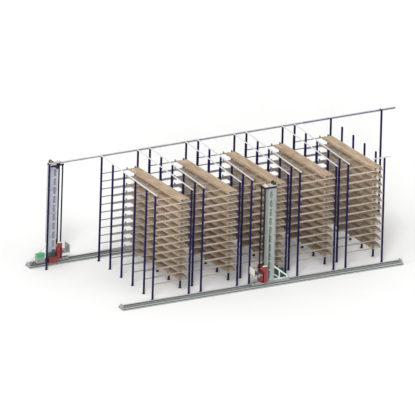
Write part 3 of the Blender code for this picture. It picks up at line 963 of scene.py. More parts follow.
laneParts = (
    (makeRails(), "lane_rails", "railOchre"),
    (makeEndCaps(), "lane_end_caps", "capOlive"),
    (makeRollers(), "lane_rollers", "rollerZinc"),
)
for rack in range(site["racks"]):
    for source, word, finish in laneParts:
        name = f"rack_{rack + 1}_{word}"
        enter(copyOf(source, name, laneMatrix(rack)), name, finishes[finish])
for source, word, finish in laneParts:
    discard(source)
print("stage 5: lanes made")

pallet = {
    "width": 1.02,
    "length": 1.19,
    "pitch": 1.2,
    "height": 0.15,
    "count": 9,
    "setback": 0.75,
    "lift": 0.003,
    "edge": 0.004,
    "pointsPerBoard": 24,
    "deckThickness": 0.024,
    "runnerThickness": 0.022,
    "crossThickness": 0.022,
    "blockSize": 0.12,
    "blockInset": 0.003,
    "deckWidths": (0.2, 0.145, 0.145, 0.145, 0.2),
    "blockShares": (0.0, 0.5, 1.0),
}


def board(x, y, z):
    return bar(x, y, z, bevel=pallet["edge"], segments=1)


def makePallet():
    width, length, size = pallet["width"], pallet["length"], pallet["blockSize"]
    left = lane["leftRail"] + lane["spacing"] / 2 - width / 2
    inset, runnerTop = pallet["blockInset"], pallet["runnerThickness"]
    deckLow = pallet["height"] - pallet["deckThickness"]
    crossLow = deckLow - pallet["crossThickness"]
    gap = (width - sum(pallet["deckWidths"])) / (len(pallet["deckWidths"]) - 1)
    places = [share * (width - size) for share in pallet["blockShares"]]
    pieces = []
    x = left
    for deckWidth in pallet["deckWidths"]:
        pieces.append(board((x, x + deckWidth), (0, length), (deckLow, pallet["height"])))
        x += deckWidth + gap
    for share in pallet["blockShares"]:
        y = share * (length - size)
        spanY = (y + inset, y + size - inset)
        pieces.append(board((left + inset, left + width - inset), spanY, (crossLow, deckLow)))
        for place in places:
            x = left + place
            pieces.append(board((x + inset, x + size - inset), spanY, (runnerTop, crossLow)))
    for place in places:
        pieces.append(board((left + place, left + place + size), (0, length), (0, runnerTop)))
    return keepLocal(join(pieces))


def makePalletStack():
    stack = makePallet()
    first = -pallet["setback"] * stretch - pallet["pitch"]
    stack.data.transform(Matrix.Translation((0, first, lane["railHeight"] + pallet["lift"])))
    repeat(stack, pallet["count"], (0, -pallet["pitch"], 0))
    return upLevels(stack)


palletStack = makePalletStack()
for rack in range(site["racks"]):
    name = f"rack_{rack + 1}_pallets"
    stack = copyOf(palletStack, name, laneMatrix(rack))
    giveTones(stack, pallet["pointsPerBoard"])
    enter(stack, name, finishes["palletWood"])
discard(palletStack)
print("stage 6: pallets made")

roof = {
    "tieWidth": 0.08,
    "tieHeight": 0.1,
    "tieFold": (0.008, -0.02),
    "tieGap": 0.001,
    "frontReach": 0.3,
    "tieOverhang": 0.06,
    "saddleLip": 0.012,
    "saddleHalf": 0.07,
    "saddleSpan": (-0.09, 0.06),
    "saddleWall": 0.006,
    "guideOffset": 0.3,
    "guideHalf": 0.03,
    "guideSpan": (-0.2, 0.05),
    "guideSplit": 3.0,
    "splitGap": 0.003,
    "web": 0.012,
    "flange": 0.018,
    "conductorReach": (0.004, 0.029),
    "conductorHalf": 0.045,
    "conductorEnd": 0.01,
    "conductorPanel": (0.012, -0.004),
}
gridLow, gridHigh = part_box("roof_grid")


def makeTie(front, rear):
    low = upright["height"] + roof["tieGap"]
    high = low + roof["tieHeight"] - 2 * roof["tieGap"]
    return bar(around(0, roof["tieWidth"] / 2), (front, rear), (low, high), faces=facing("Y"),
               panel=roof["tieFold"])


def makeSaddle():
    half = roof["tieWidth"] / 2 + roof["saddleLip"]
    reach = roof["saddleHalf"]
    low, high = (upright["height"] + offset for offset in roof["saddleSpan"])
    piece = startBox((-half, -reach, low), (half, reach, high))
    deleteFaces(piece, facing("Z"))
    deleteFaces(piece, facing("Y"))
    return giveWall(piece, roof["saddleWall"])


def makeIBeam(x, y, z):
    # flanges and web, pressed in from both sides of a bar along X
    depth = roof["web"] / 2 - (y[1] - y[0]) / 2
    return bar(x, y, z, bevel=0.003, faces=facing("Y"), panel=(roof["flange"], depth), segments=1)


saddle = makeSaddle()
tieFront = frontRowY - roof["frontReach"]
tieRear = rearRowY + roof["guideOffset"] + roof["tieOverhang"]
columns = []
for rack in range(site["racks"]):
    x = postPlace(rack, 0)[0]
    columns += [x, x + bay["width"]]
rowPlaces = [postPlace(0, row)[1] for row in range(site["rows"])]
for index, x in enumerate(columns[:-1]):
    pieces = [makeTie(tieFront, tieRear)]
    pieces += [copyOf(saddle, "saddle", Matrix.Translation((0, y, 0))) for y in rowPlaces]
    tie = join(pieces)
    tie.data.transform(Matrix.Translation((x, 0, 0)))
    enter(tie, f"roof_tie_{index + 1}", finishes["tieWhite"], nodes=["roof_grid"])
for node, x in railPostPlaces.items():
    shortTie = makeTie(rearRowY - roof["saddleHalf"], tieRear)
    shortTie = join([shortTie, copyOf(saddle, "saddle", Matrix.Translation((0, rearRowY, 0)))])
    shortTie.data.transform(Matrix.Translation((x, 0, 0)))
    enter(shortTie, f"{node}_tie", finishes["uprightNavy"], nodes=["roof_grid"])
discard(saddle)

guideY = rearRowY + roof["guideOffset"]
guideLow, guideHigh = (upright["height"] + offset for offset in roof["guideSpan"])
guideSplit = columns[-1] - roof["guideSplit"]
guideMiddle = (guideLow + guideHigh) / 2
guideParts = (
    ("rear_guide_rail", gridLow.x, guideSplit, "tieWhite", "guideGrey"),
    ("rear_guide_end", guideSplit + roof["splitGap"], gridHigh.x, "guidePale", "guideNavy"),
)
for name, start, end, railFinish, barFinish in guideParts:
    rail = makeIBeam((start, end), around(guideY, roof["guideHalf"]), (guideLow, guideHigh))
    enter(rail, name, finishes[railFinish], nodes=["roof_grid"])
    conductors = []
    for side in (-1, 1):
        near, far = (guideY + side * reach for reach in roof["conductorReach"])
        conductors.append(bar((start + roof["conductorEnd"], end - roof["conductorEnd"]), (near, far),
                              around(guideMiddle, roof["conductorHalf"]), bevel=0.005, faces=facing("Y"),
                              panel=roof["conductorPanel"]))
    enter(join(conductors), f"{name}_conductors", finishes[barFinish])
stub = makeIBeam(*zip(*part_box("front_guide_rail")))
enter(stub, "front_guide_stub", finishes["guidePale"], nodes=["front_guide_rail"])
print("stage 7: roof made")

track = {
    "slabHeight": 0.05,
    "seamPitch": 3.0,
    "seamHalf": 0.05,
    "seamInset": 0.004,
    "seamRise": 0.008,
    "railHalf": 0.04,
    "railTop": 0.2,
    "railWaist": (0.03, -0.026),
    "endGap": 0.01,
    "flangeWidth": 0.12,
    "flangeHeight": 0.024,
    "flangeTop": 0.235,
    "flangeInset": 0.02,
    "webHalf": 0.012,
    "webInset": (0.012, 0.004),
    "clipSpan": (0.4, 0.48),
    "clipHalf": 0.11,
    "clipHeight": 0.028,
    "clipMargin": 0.8,
    "clipPitch": 0.75,
    "boltX": 0.44,
    "boltReach": 0.085,
    "boltZ": 0.035,
    "boltRadius": 0.014,
    "boltHeight": 0.03,
    "stopGap": 0.02,
    "stopThickness": 0.15,
    "stopHalf": 0.3,
    "stopTop": 0.45,
    "stopPanel": (0.05, -0.04),
}


def makeSlab(low, high):
    ground, inset = track["slabHeight"], track["seamInset"]
    pieces = [bar((low.x, high.x), (low.y, high.y), (0, ground), bevel=0.008)]
    for index in range(1, int((high.x - low.x) / track["seamPitch"])):
        x = low.x + index * track["seamPitch"]
        pieces.append(bar(around(x, track["seamHalf"]), (low.y + inset, high.y - inset),
                          (ground - inset, ground + track["seamRise"]), bevel=0.002, segments=1))
    return join(pieces)


def makeSideBeams(low, high):
    # two flanges and a web on each side of the running rail
    ground, top, height = track["slabHeight"], track["flangeTop"], track["flangeHeight"]
    half, gap = track["flangeWidth"] / 2, track["endGap"]
    insetX, insetZ = track["webInset"]
    middle = (low.y + high.y) / 2
    reach = (high.y - low.y - track["flangeWidth"]) / 2 - track["flangeInset"]
    flanges, webs = [], []
    for side in (-1, 1):
        centre = middle + side * reach
        for bottom in (ground, top - height):
            flanges.append(bar((low.x + gap, high.x - gap), around(centre, half), (bottom, bottom + height),
                               bevel=0.003))
        webs.append(bar((low.x + insetX, high.x - insetX), around(centre, track["webHalf"]),
                        (ground + insetZ, top - insetZ), bevel=0.002))
    return join(flanges), join(webs)


def makeClips(low, high):
    ground, middle = track["slabHeight"], (low.y + high.y) / 2
    clip = bar(shifted(track["clipSpan"], low.x), around(middle, track["clipHalf"]),
               (ground, ground + track["clipHeight"]), bevel=0.003, faces=facing("Z", 1), panel=(0.02, 0.01),
               segments=1)
    bolts = []
    for side in (-1, 1):
        place = (low.x + track["boltX"], middle + side * track["boltReach"], ground + track["boltZ"])
        bolts.append(startRound(place, track["boltRadius"], track["boltHeight"], sides=6))
    count = int((high.x - low.x - track["clipMargin"]) / track["clipPitch"])
    return repeat(join([clip, *bolts]), count, (track["clipPitch"], 0, 0))


def makeTrackPieces(node):
    low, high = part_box(node)
    middle = (low.y + high.y) / 2
    ground, gap = track["slabHeight"], track["endGap"]
    enter(makeSlab(low, high), f"{node}_slab", finishes["trackZinc"], nodes=[node])
    rail = bar((low.x + gap, high.x - gap), around(middle, track["railHalf"]), (ground, track["railTop"]),
               bevel=0.004, faces=facing("Y"), panel=track["railWaist"])
    enter(rail, f"{node}_running_rail", finishes["runningSteel"], nodes=[node])
    flanges, webs = makeSideBeams(low, high)
    # painted light on the flanges and painted shade on the webs of the same steel beam
    enter(flanges, f"{node}_beam_flanges", finishes["flangeZinc"], nodes=[node])
    enter(webs, f"{node}_beam_webs", finishes["trackShade"], nodes=[node])
    enter(makeClips(low, high), f"{node}_rail_clips", finishes["oiledSteel"])
    stops = []
    for x in (low.x + track["stopGap"], high.x - track["stopGap"] - track["stopThickness"]):
        stops.append(bar((x, x + track["stopThickness"]), around(middle, track["stopHalf"]),
                         (ground, track["stopTop"]), faces=facing("X"), panel=track["stopPanel"]))
    enter(join(stops), f"{node}_end_stops", finishes["machineGrey"], nodes=[node])


makeTrackPieces("rear_track")
makeTrackPieces("front_track")
print("stage 8: tracks made")

# In the cranes' values a span is two places along an axis, and three spans give a bar. A panel is the
# width of its border and its depth. X runs along the track and Z up from the floor, from the mast's middle.

cranes = {
    "rear_crane": {
        "turn": 0.0,
        "tableHeight": 1.2,
        "guard": "machineGrey",
        "cabinet": "cabinetGreen",
        "power": "machineGrey",
        "mast": "mastLilac",
        "columns": "columnNavy",
        "sheaves": "sheaveOlive",
    },
    "front_crane": {
        "turn": math.pi,
        "tableHeight": 1.44,
        "guard": "guardCream",
        "cabinet": "motorGreen",
        "power": "motorGreen",
        "mast": "mastGrey",
        "columns": "columnBlack",
        "sheaves": "conduitGreen",
    },
}


def craneMatrix(name):
    low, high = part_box(f"{name}_mast")
    middle = (low + high) / 2
    return Matrix.Translation((middle.x, middle.y, 0)) @ Matrix.Rotation(cranes[name]["turn"], 4, "Z")


base = {
    "rear": -2.28,
    "front": 2.0,
    "low": 0.25,
    "top": 0.52,
    "half": 0.16,
    "sidePlate": 0.022,
    "sidePanel": (0.03, -0.007),
    "wheels": (-1.9, 1.6),
    "axleHeight": 0.3553,
    "bossReach": 0.166,
    "bossRadius": 0.075,
    "bossLength": 0.018,
    "bossPanel": (0.018, -0.006),
    "innerHalf": 0.14,
    "wheelGaps": (-2.08, -1.72, 1.42, 1.78),
    "endInset": 0.01,
    "lid": 0.022,
    "floor": 0.02,
    "endPlates": (-2.277, 1.972),
    "endThickness": 0.025,
    "endGap": 0.005,
    "endPanel": (0.03, -0.006),
    "ribs": (-1.5, -0.7, 0.6, 1.2),
    "ribThickness": 0.012,
    "ribHalf": 0.142,
    "ribGap": 0.01,
    "columnSeat": ((0.72, 1.04), (-0.5, 0.5), (0.44, 0.516)),
    "cabinetSeat": ((-1.8, -1.0), (-0.55, -0.15), (0.44, 0.516)),
    "driveSeat": ((-0.45, 0.3), (-0.73, -0.15), (0.25, 0.295)),
    "bolt": {"centre": (-0.41, -0.69, 0.3), "radius": 0.014, "length": 0.02},
    "bolts": 5,
    "boltPitch": 0.165,
}


def makeBase():
    rear, front, low, top = base["rear"], base["front"], base["low"], base["top"]
    inside = (-base["innerHalf"], base["innerHalf"])
    pieces = []
    for side in (-1, 1):
        plate = mirrored(side, base["half"], base["half"] - base["sidePlate"])
        pieces.append(bar((rear, front), plate, (low, top), bevel=0.004, faces=facing("Y", side),
                          panel=base["sidePanel"]))
        for wheelX in base["wheels"]:
            centre = (wheelX, side * base["bossReach"], base["axleHeight"])
            pieces.append(tube(centre, base["bossRadius"], base["bossLength"], "Y", sides=20,
                               panel=base["bossPanel"]))
    edges = (rear + base["endInset"], *base["wheelGaps"], front - base["endInset"])
    for span in zip(edges[::2], edges[1::2]):
        for height in ((top - base["lid"], top), (low, low + base["floor"])):
            pieces.append(bar(span, inside, height, bevel=0.003))
    for x in base["endPlates"]:
        pieces.append(bar((x, x + base["endThickness"]), inside, (low + base["endGap"], top - base["endGap"]),
                          bevel=0.004, faces=facing("X"), panel=base["endPanel"]))
    for x in base["ribs"]:
        pieces.append(bar((x, x + base["ribThickness"]), (-base["ribHalf"], base["ribHalf"]),
                          (low + base["ribGap"], top - base["ribGap"]), bevel=0.002))
    pieces.append(bar(*base["columnSeat"], faces=facing("Y"), panel=(0.015, -0.01)))
    pieces.append(bar(*base["cabinetSeat"], faces=facing("Y", -1), panel=(0.015, -0.02)))
    pieces.append(bar(*base["driveSeat"], bevel=0.005, faces=facing("X"), panel=(0.01, -0.02)))
    bolt = tube(**base["bolt"], sides=6)
    pieces.append(repeat(bolt, base["bolts"], (base["boltPitch"], 0, 0)))
    return join(pieces)


buffer = {"places": (-0.08, 0.08), "height": 0.315, "radius": 0.05, "length": 0.065, "shift": 0.0225}


def makeBuffers():
    pieces = []
    for x in (base["rear"] - buffer["shift"], base["front"] + buffer["shift"]):
        for y in buffer["places"]:
            pieces.append(tube((x, y, buffer["height"]), buffer["radius"], buffer["length"], "X", sides=20,
                               panel=(0.015, -0.006)))
    return join(pieces)


travelDrive = {
    "gearbox": ((-2.15, -1.78), (-0.3, -0.175), (0.265, 0.525)),
    "motor": {"centre": (-2.0, -0.47, 0.385), "radius": 0.105, "length": 0.3},
    "fin": {"centre": (-2.0, -0.57, 0.385), "radius": 0.122, "length": 0.012},
    "fins": 7,
    "finPitch": 0.032,
    "hood": {"centre": (-2.0, -0.625, 0.385), "radius": 0.115, "length": 0.03},
    "terminals": ((-2.06, -1.94), (-0.52, -0.4), (0.485, 0.565)),
}


def makeTravelDrive():
    pieces = [bar(*travelDrive["gearbox"], bevel=0.012, faces=facing("Y", -1), panel=(0.03, 0.012))]
    pieces.append(tube(**travelDrive["motor"], axis="Y", sides=24, panel=(0.02, -0.006)))
    fin = tube(**travelDrive["fin"], axis="Y", sides=24)
    pieces.append(repeat(fin, travelDrive["fins"], (0, travelDrive["finPitch"], 0)))
    pieces.append(tube(**travelDrive["hood"], axis="Y", sides=24, panel=(0.03, -0.008)))
    pieces.append(bar(*travelDrive["terminals"], faces=facing("Z", 1), panel=(0.015, -0.006)))
    return join(pieces)


wheel = {
    "radius": 0.155,
    "width": 0.1,
    "rim": 0.028,
    "dish": (0.004, -0.02),
    "dishReach": 0.01,
    "hubRadius": 0.068,
    "hubWidth": 0.136,
    "axleRadius": 0.036,
    "axleWidth": 0.36,
}


def makeWheel(x):
    def dished(normal, middle):
        return abs(normal.y) > squareOn and abs(middle.x - x) < wheel["dishReach"]

    centre = (x, 0, base["axleHeight"])
    tread = startRound(centre, wheel["radius"], wheel["width"], "Y", sides=40)
    insetFaces(tread, facing("Y"), wheel["rim"])
    insetFaces(tread, dished, *wheel["dish"])
    roundEdges(tread, 0.003, 2)
    hub = tube(centre, wheel["hubRadius"], wheel["hubWidth"], "Y", sides=24, panel=(0.02, -0.006))
    axle = tube(centre, wheel["axleRadius"], wheel["axleWidth"], "Y", panel=(0.01, -0.006))
    return smooth(join([tread, hub, axle]))


mast = {
    "halfX": 0.42,
    "halfY": 0.27,
    "low": 0.521,
    "top": 10.549,
    "windows": 10,
    "windowSpan": (-0.03, 0.23),
    "windowHeight": 0.7,
    "windowCorner": 0.03,
    "firstWindow": 0.9,
    "windowPitch": 0.95,
    "cutReach": 0.4,
    "stripPlaces": (-0.425, 0.409),
    "stripThickness": 0.014,
    "stripHalf": 0.2,
    "stripHeight": (0.6, 10.5),
    "collars": (0.53, 3.0, 5.5, 8.0, 10.44),
    "collarHeight": 0.05,
    "collarLip": 0.025,
    "collarGap": 0.002,
}


def makeMast():
    halfX, halfY, first = mast["halfX"], mast["halfY"], mast["firstWindow"]
    shell = startBox((-halfX, -halfY, mast["low"]), (halfX, halfY, mast["top"]))
    window = bar(mast["windowSpan"], around(0, mast["cutReach"]), (first, first + mast["windowHeight"]),
                 bevel=mast["windowCorner"])
    repeat(window, mast["windows"], (0, 0, mast["windowPitch"]))
    applyModifier(shell, "BOOLEAN", operation="DIFFERENCE", solver="EXACT", object=window)
    discard(window)
    pieces = [roundEdges(shell, 0.008, 2)]
    for x in mast["stripPlaces"]:
        pieces.append(bar((x, x + mast["stripThickness"]), around(0, mast["stripHalf"]), mast["stripHeight"],
                          bevel=0.004))
    return join(pieces)


def makeCollars():
    spanX = (-mast["halfX"] - mast["collarLip"], mast["halfX"] - mast["collarGap"])
    spanY = around(0, mast["halfY"] + mast["collarLip"])
    return join([bar(spanX, spanY, (z, z + mast["collarHeight"])) for z in mast["collars"]])


lattice = {
    "halfX": 0.024,
    "halfY": 0.006,
    "halfZ": 0.41,
    "x": 0.1,
    "lean": 0.37,
    "gap": 0.006,
    "cross": 0.012,
}


def makeLattice():
    pieces = []
    for window in range(mast["windows"]):
        middle = mast["firstWindow"] + window * mast["windowPitch"] + mast["windowHeight"] / 2
        for side in (-1, 1):
            for lean in (-lattice["lean"], lattice["lean"]):
                strip = bar(around(0, lattice["halfX"]), around(0, lattice["halfY"]),
                            around(0, lattice["halfZ"]), bevel=0.003)
                reach = mast["halfY"] + lattice["gap"] + lean * lattice["cross"]
                place = Matrix.Translation((lattice["x"], side * reach, middle))
                strip.data.transform(place @ Matrix.Rotation(lean, 4, "Y"))
                pieces.append(strip)
    return join(pieces)


ladder = {
    "x": -0.52,
    "height": (2.3, 10.45),
    "sides": (-0.2, 0.2),
    "sideHalf": 0.02,
    "rung": {"centre": (-0.52, 0, 2.45), "radius": 0.014, "length": 0.37},
    "rungs": 28,
    "rungPitch": 0.29,
    "brackets": (2.4, 5.0, 7.6, 10.2),
    "bracketSpan": (-0.502, -0.419),
    "bracketHalf": 0.015,
    "bracketHeight": 0.04,
}


def makeLadder():
    pieces = []
    for y in ladder["sides"]:
        pieces.append(bar(around(ladder["x"], ladder["sideHalf"]), around(y, ladder["sideHalf"]),
                          ladder["height"], bevel=0.005))
    rung = tube(**ladder["rung"], axis="Y", sides=8)
    pieces.append(repeat(rung, ladder["rungs"], (0, 0, ladder["rungPitch"])))
    for z in ladder["brackets"]:
        for y in ladder["sides"]:
            pieces.append(bar(ladder["bracketSpan"], around(y, ladder["bracketHalf"]),
                              (z, z + ladder["bracketHeight"]), bevel=0.004))
    return join(pieces)


def makeStrut(start, end, thickness, halfWidth):
    # a pressed bar between two points of the crane's own X-Z plane
    rod = bar((0, math.dist(start, end)), around(0, halfWidth), around(0, thickness / 2), bevel=0.008,
              faces=facing("Y"), panel=(0.014, -0.02))
    angle = math.atan2(end[1] - start[1], end[0] - start[0])
    rod.data.transform(Matrix.Translation((start[0], 0, start[1])) @ Matrix.Rotation(-angle, 4, "Y"))
    return rod


brace = {
    "diagonal": {"start": (-2.06, 0.74), "end": (-0.47, 2.03), "thickness": 0.14, "halfWidth": 0.058},
    "stay": {"start": (-1.2, 0.62), "end": (-0.47, 1.2), "thickness": 0.09, "halfWidth": 0.05},
    "foot": ((-2.1, -0.4205), (-0.06, 0.06), (0.5205, 0.62)),
    "toe": ((-2.1, -2.0), (-0.06, 0.06), (0.53, 0.75)),
    "back": ((-0.53, -0.4205), (-0.06, 0.06), (0.53, 2.1)),
    "upright": ((-1.24, -1.15), (-0.055, 0.055), (0.6, 1.4)),
    "panel": (0.02, -0.02),
}


def makeBrace():
    return join([
        makeStrut(**brace["diagonal"]),
        makeStrut(**brace["stay"]),
        bar(*brace["foot"], faces=facing("Y"), panel=brace["panel"]),
        bar(*brace["toe"]),
        bar(*brace["back"], faces=facing("Y"), panel=brace["panel"]),
        bar(*brace["upright"]),
    ])


guideFrame = {
    "columns": (-0.37, 0.37),
    "columnSpan": (0.82, 0.94),
    "columnHalf": 0.06,
    "columnHeight": (0.5205, 10.56),
    "footSpan": (0.8, 0.96),
    "footHalf": 0.08,
    "footHeight": (0.517, 0.537),
    "headPlate": ((-0.42, 1.0), (-0.45, 0.45), (10.5505, 10.72)),
    "arm": ((-0.15, 0.15), (-1.12, -0.44), (10.562, 10.71)),
    "stalk": ((-0.13, 0.13), (-1.09, -1.01), (10.7, 11.018)),
    "shoes": ((-1.136, -1.092), (-1.008, -0.964)),
    "shoeSpan": (-0.2, 0.2),
    "shoeHeight": (10.985, 11.15),
}


def makeGuideFrame(name):
    pieces = []
    for y in guideFrame["columns"]:
        pieces.append(bar(guideFrame["columnSpan"], around(y, guideFrame["columnHalf"]),
                          guideFrame["columnHeight"], faces=facing("Y"), panel=(0.024, -0.03)))
        pieces.append(bar(guideFrame["footSpan"], around(y, guideFrame["footHalf"]),
                          guideFrame["footHeight"], bevel=0.003))
    pieces.append(bar(*guideFrame["headPlate"], bevel=0.012, faces=walls, panel=(0.03, -0.02)))
    if name == "rear_crane":
        pieces.append(bar(*guideFrame["arm"], bevel=0.01, faces=facing("X"), panel=(0.03, -0.03)))
        pieces.append(bar(*guideFrame["stalk"]))
        for shoe in guideFrame["shoes"]:
            pieces.append(bar(guideFrame["shoeSpan"], shoe, guideFrame["shoeHeight"]))
    return join(pieces)


headCap = {
    "lid": ((-0.4, 0.3), (-0.36, 0.36), (10.715, 10.8)),
    "plate": ((0.36, 0.86), (-0.34, 0.34), (10.715, 10.76)),
    "roller": {"centre": (0.6, 0, 10.79), "radius": 0.11, "length": 0.5},
}


def makeHeadCap():
    pieces = [bar(*headCap["lid"], bevel=0.02, faces=facing("Z", 1), panel=(0.06, -0.01))]
    pieces.append(bar(*headCap["plate"], bevel=0.012))
    pieces.append(tube(**headCap["roller"], axis="Y", sides=20, panel=(0.02, -0.006)))
    return join(pieces)


sheave = {
    "x": -0.24,
    "z": 10.94,
    "places": (-0.22, 0.22),
    "radius": 0.19,
    "width": 0.05,
    "cheekReach": 0.045,
    "cheekHalf": 0.006,
    "cheekHalfX": 0.13,
    "cheekHeight": (10.79, 10.98),
    "pinRadius": 0.02,
    "pinLength": 0.13,
    "spacer": {"centre": (-0.26, 0, 10.92), "radius": 0.07, "length": 0.3},
}


def makeSheaves():
    pieces = []
    for y in sheave["places"]:
        centre = (sheave["x"], y, sheave["z"])
        pieces.append(tube(centre, sheave["radius"], sheave["width"], "Y", sides=28, panel=(0.035, -0.01)))
        for side in (-1, 1):
            cheek = around(y + side * sheave["cheekReach"], sheave["cheekHalf"])
            pieces.append(bar(around(sheave["x"], sheave["cheekHalfX"]), cheek, sheave["cheekHeight"],
                              bevel=0.004))
        pieces.append(tube(centre, sheave["pinRadius"], sheave["pinLength"], "Y", sides=12))
    pieces.append(tube(**sheave["spacer"], axis="Y", sides=18, panel=(0.015, -0.006)))
    return join(pieces)


cabinet = {
    "control": {"low": 1.1, "high": 1.446, "slats": 4},
    "power": {"low": 0.53, "high": 1.098, "slats": 9},
    "span": (-1.85, -0.95),
    "depth": (-0.6, -0.2),
    "doors": (-1.84, -1.395),
    "doorSpan": (0.012, 0.433),
    "doorFace": (-0.612, -0.598),
    "doorMargin": 0.03,
    "slatSpan": (0.1, 0.34),
    "slatFace": (-0.62, -0.606),
    "slatHeight": (0.1, 0.112),
    "slatPitch": 0.028,
    "handleSpan": (-1.43, -1.405),
    "handlePosts": (-0.05, 0.04),
    "postFace": (-0.64, -0.61),
    "postHeight": 0.012,
    "gripFace": (-0.645, -0.632),
    "gripHeight": (-0.05, 0.052),
    "plinth": ((-1.83, -0.97), (-0.58, -0.22), (0.5165, 0.531)),
}


def makeCabinet(low, high, slats):
    pieces = [bar(cabinet["span"], cabinet["depth"], (low, high), bevel=0.012)]
    doorHeight = (low + cabinet["doorMargin"], high - cabinet["doorMargin"])
    for x in cabinet["doors"]:
        pieces.append(bar(shifted(cabinet["doorSpan"], x), cabinet["doorFace"], doorHeight, bevel=0.004,
                          faces=facing("Y", -1), panel=(0.025, -0.006)))
        slat = bar(shifted(cabinet["slatSpan"], x), cabinet["slatFace"], shifted(cabinet["slatHeight"], low),
                   bevel=0.002)
        pieces.append(repeat(slat, slats, (0, 0, cabinet["slatPitch"])))
    middle = (low + high) / 2
    for offset in cabinet["handlePosts"]:
        z = middle + offset
        pieces.append(bar(cabinet["handleSpan"], cabinet["postFace"], (z, z + cabinet["postHeight"]),
                          bevel=0.002))
    pieces.append(bar(cabinet["handleSpan"], cabinet["gripFace"], shifted(cabinet["gripHeight"], middle),
                      bevel=0.004))
    return join(pieces)


def makePlinth():
    return bar(*cabinet["plinth"], bevel=0.002, faces=facing("Y", -1), panel=(0.003, -0.004))


hoist = {
    "gearbox": ((-0.5, 0.35), (-0.75, -0.2705), (0.2965, 0.976)),
    "cover": ((-0.46, 0.31), (-0.778, -0.75), (0.35, 0.92)),
    "boltRows": (0.38, 0.89),
    "boltX": -0.42,
    "boltY": -0.774,
    "boltRadius": 0.015,
    "boltLength": 0.024,
    "bolts": 4,
    "boltPitch": 0.23,
    "boss": {"centre": (-0.07, -0.79, 0.64), "radius": 0.11, "length": 0.06},
    "lug": ((-0.12, 0.12), (-0.3705, -0.2725), (0.97, 1.06)),
    "motor": {"centre": (0.08, -0.525, 1.241), "radius": 0.165, "length": 0.518},
    "fin": {"centre": (0.08, -0.525, 1.042), "radius": 0.188, "length": 0.014},
    "fins": 12,
    "finPitch": 0.034,
    "brake": {"centre": (0.08, -0.525, 1.57), "radius": 0.14, "length": 0.16},
    "switchBox": ((-0.44, -0.14), (-0.675, -0.375), (0.982, 1.38)),
    "gland": ((-0.15, -0.08), (-0.575, -0.475), (1.1, 1.2)),
    "drum": {"centre": (-0.64, -0.525, 0.6563), "radius": 0.144, "length": 0.25},
    "ropeTurn": {"centre": (-0.739, -0.525, 0.6563), "radius": 0.158, "length": 0.018},
    "ropeTurns": 12,
    "flanges": (-0.757, -0.523),
    "flangeRadius": 0.19,
    "flangeWidth": 0.018,
}


def makeGearbox():
    pieces = [bar(*hoist["gearbox"], bevel=0.014, faces=walls, panel=(0.06, 0.01))]
    pieces.append(bar(*hoist["cover"], bevel=0.008, faces=facing("Y", -1), panel=(0.05, -0.01)))
    for z in hoist["boltRows"]:
        place = (hoist["boltX"], hoist["boltY"], z)
        bolt = tube(place, hoist["boltRadius"], hoist["boltLength"], "Y", sides=6)
        pieces.append(repeat(bolt, hoist["bolts"], (hoist["boltPitch"], 0, 0)))
    pieces.append(tube(**hoist["boss"], axis="Y", sides=24, panel=(0.03, -0.012)))
    pieces.append(bar(*hoist["lug"], bevel=0.008))
    return join(pieces)


def makeMotor():
    # a finned motor with its brake on top, and the brake's switch box beside it
    pieces = [tube(**hoist["motor"], sides=28, panel=(0.02, -0.006))]
    fin = tube(**hoist["fin"], sides=28)
    pieces.append(repeat(fin, hoist["fins"], (0, 0, hoist["finPitch"])))
    pieces.append(tube(**hoist["brake"], sides=24, panel=(0.03, -0.01)))
    pieces.append(bar(*hoist["switchBox"], bevel=0.01, faces=facing("Y"), panel=(0.03, -0.008)))
    pieces.append(bar(*hoist["gland"]))
    return join(pieces)


def makeDrum():
    pieces = [tube(**hoist["drum"], axis="X", sides=28)]
    rope = startRound(**hoist["ropeTurn"], axis="X", sides=28)
    roundEdges(rope, 0.006, 2)
    pieces.append(repeat(rope, hoist["ropeTurns"], (hoist["ropeTurn"]["length"], 0, 0)))
    for x in hoist["flanges"]:
        centre = (x, *hoist["drum"]["centre"][1:])
        pieces.append(tube(centre, hoist["flangeRadius"], hoist["flangeWidth"], "X", sides=32,
                           panel=(0.03, -0.004)))
    return smooth(join(pieces))


carriage = {
    "span": (0.432, 0.998),
    "height": (0.551, 1.849),
    "coreHalf": 0.29,
    "wingReach": (0.285, 0.548),
    "wingSpan": (0.432, 0.808),
    "lipSpan": (0.955, 0.998),
    "ribs": (0.62, 0.98, 1.35, 1.7),
    "ribSpan": (0.5, 0.74),
    "ribReach": 0.53,
    "ribHalf": 0.016,
    "ribHeight": 0.05,
    "cheekSpan": (0.436, 0.99),
    "cheekReach": (0.458, 0.546),
    "cheekHeight": (1.8, 2.28),
    "cap": ((0.47, 0.8), (-0.26, 0.26), (1.8485, 1.889)),
    "padSpan": (0.46, 0.97),
    "padReach": (0.462, 0.542),
    "padHeight": (2.2785, 2.38),
    "rollerHeights": (0.64, 1.76),
    "rollerPlaces": (0.795, 0.965),
    "rollerReach": 0.46,
    "rollerRadius": 0.024,
    "rollerLength": 0.06,
}


def makeCarriage():
    pieces = [bar(carriage["span"], around(0, carriage["coreHalf"]), carriage["height"], bevel=0.012,
                  faces=facing("X"), panel=(0.07, -0.02))]
    for side in (-1, 1):
        wing = mirrored(side, *carriage["wingReach"])
        rib = around(side * carriage["ribReach"], carriage["ribHalf"])
        pieces.append(bar(carriage["wingSpan"], wing, carriage["height"], bevel=0.01, faces=facing("Y"),
                          panel=(0.05, -0.02)))
        pieces.append(bar(carriage["lipSpan"], wing, carriage["height"], bevel=0.008))
        for z in carriage["ribs"]:
            pieces.append(bar(carriage["ribSpan"], rib, (z, z + carriage["ribHeight"]), bevel=0.005))
    return join(pieces)


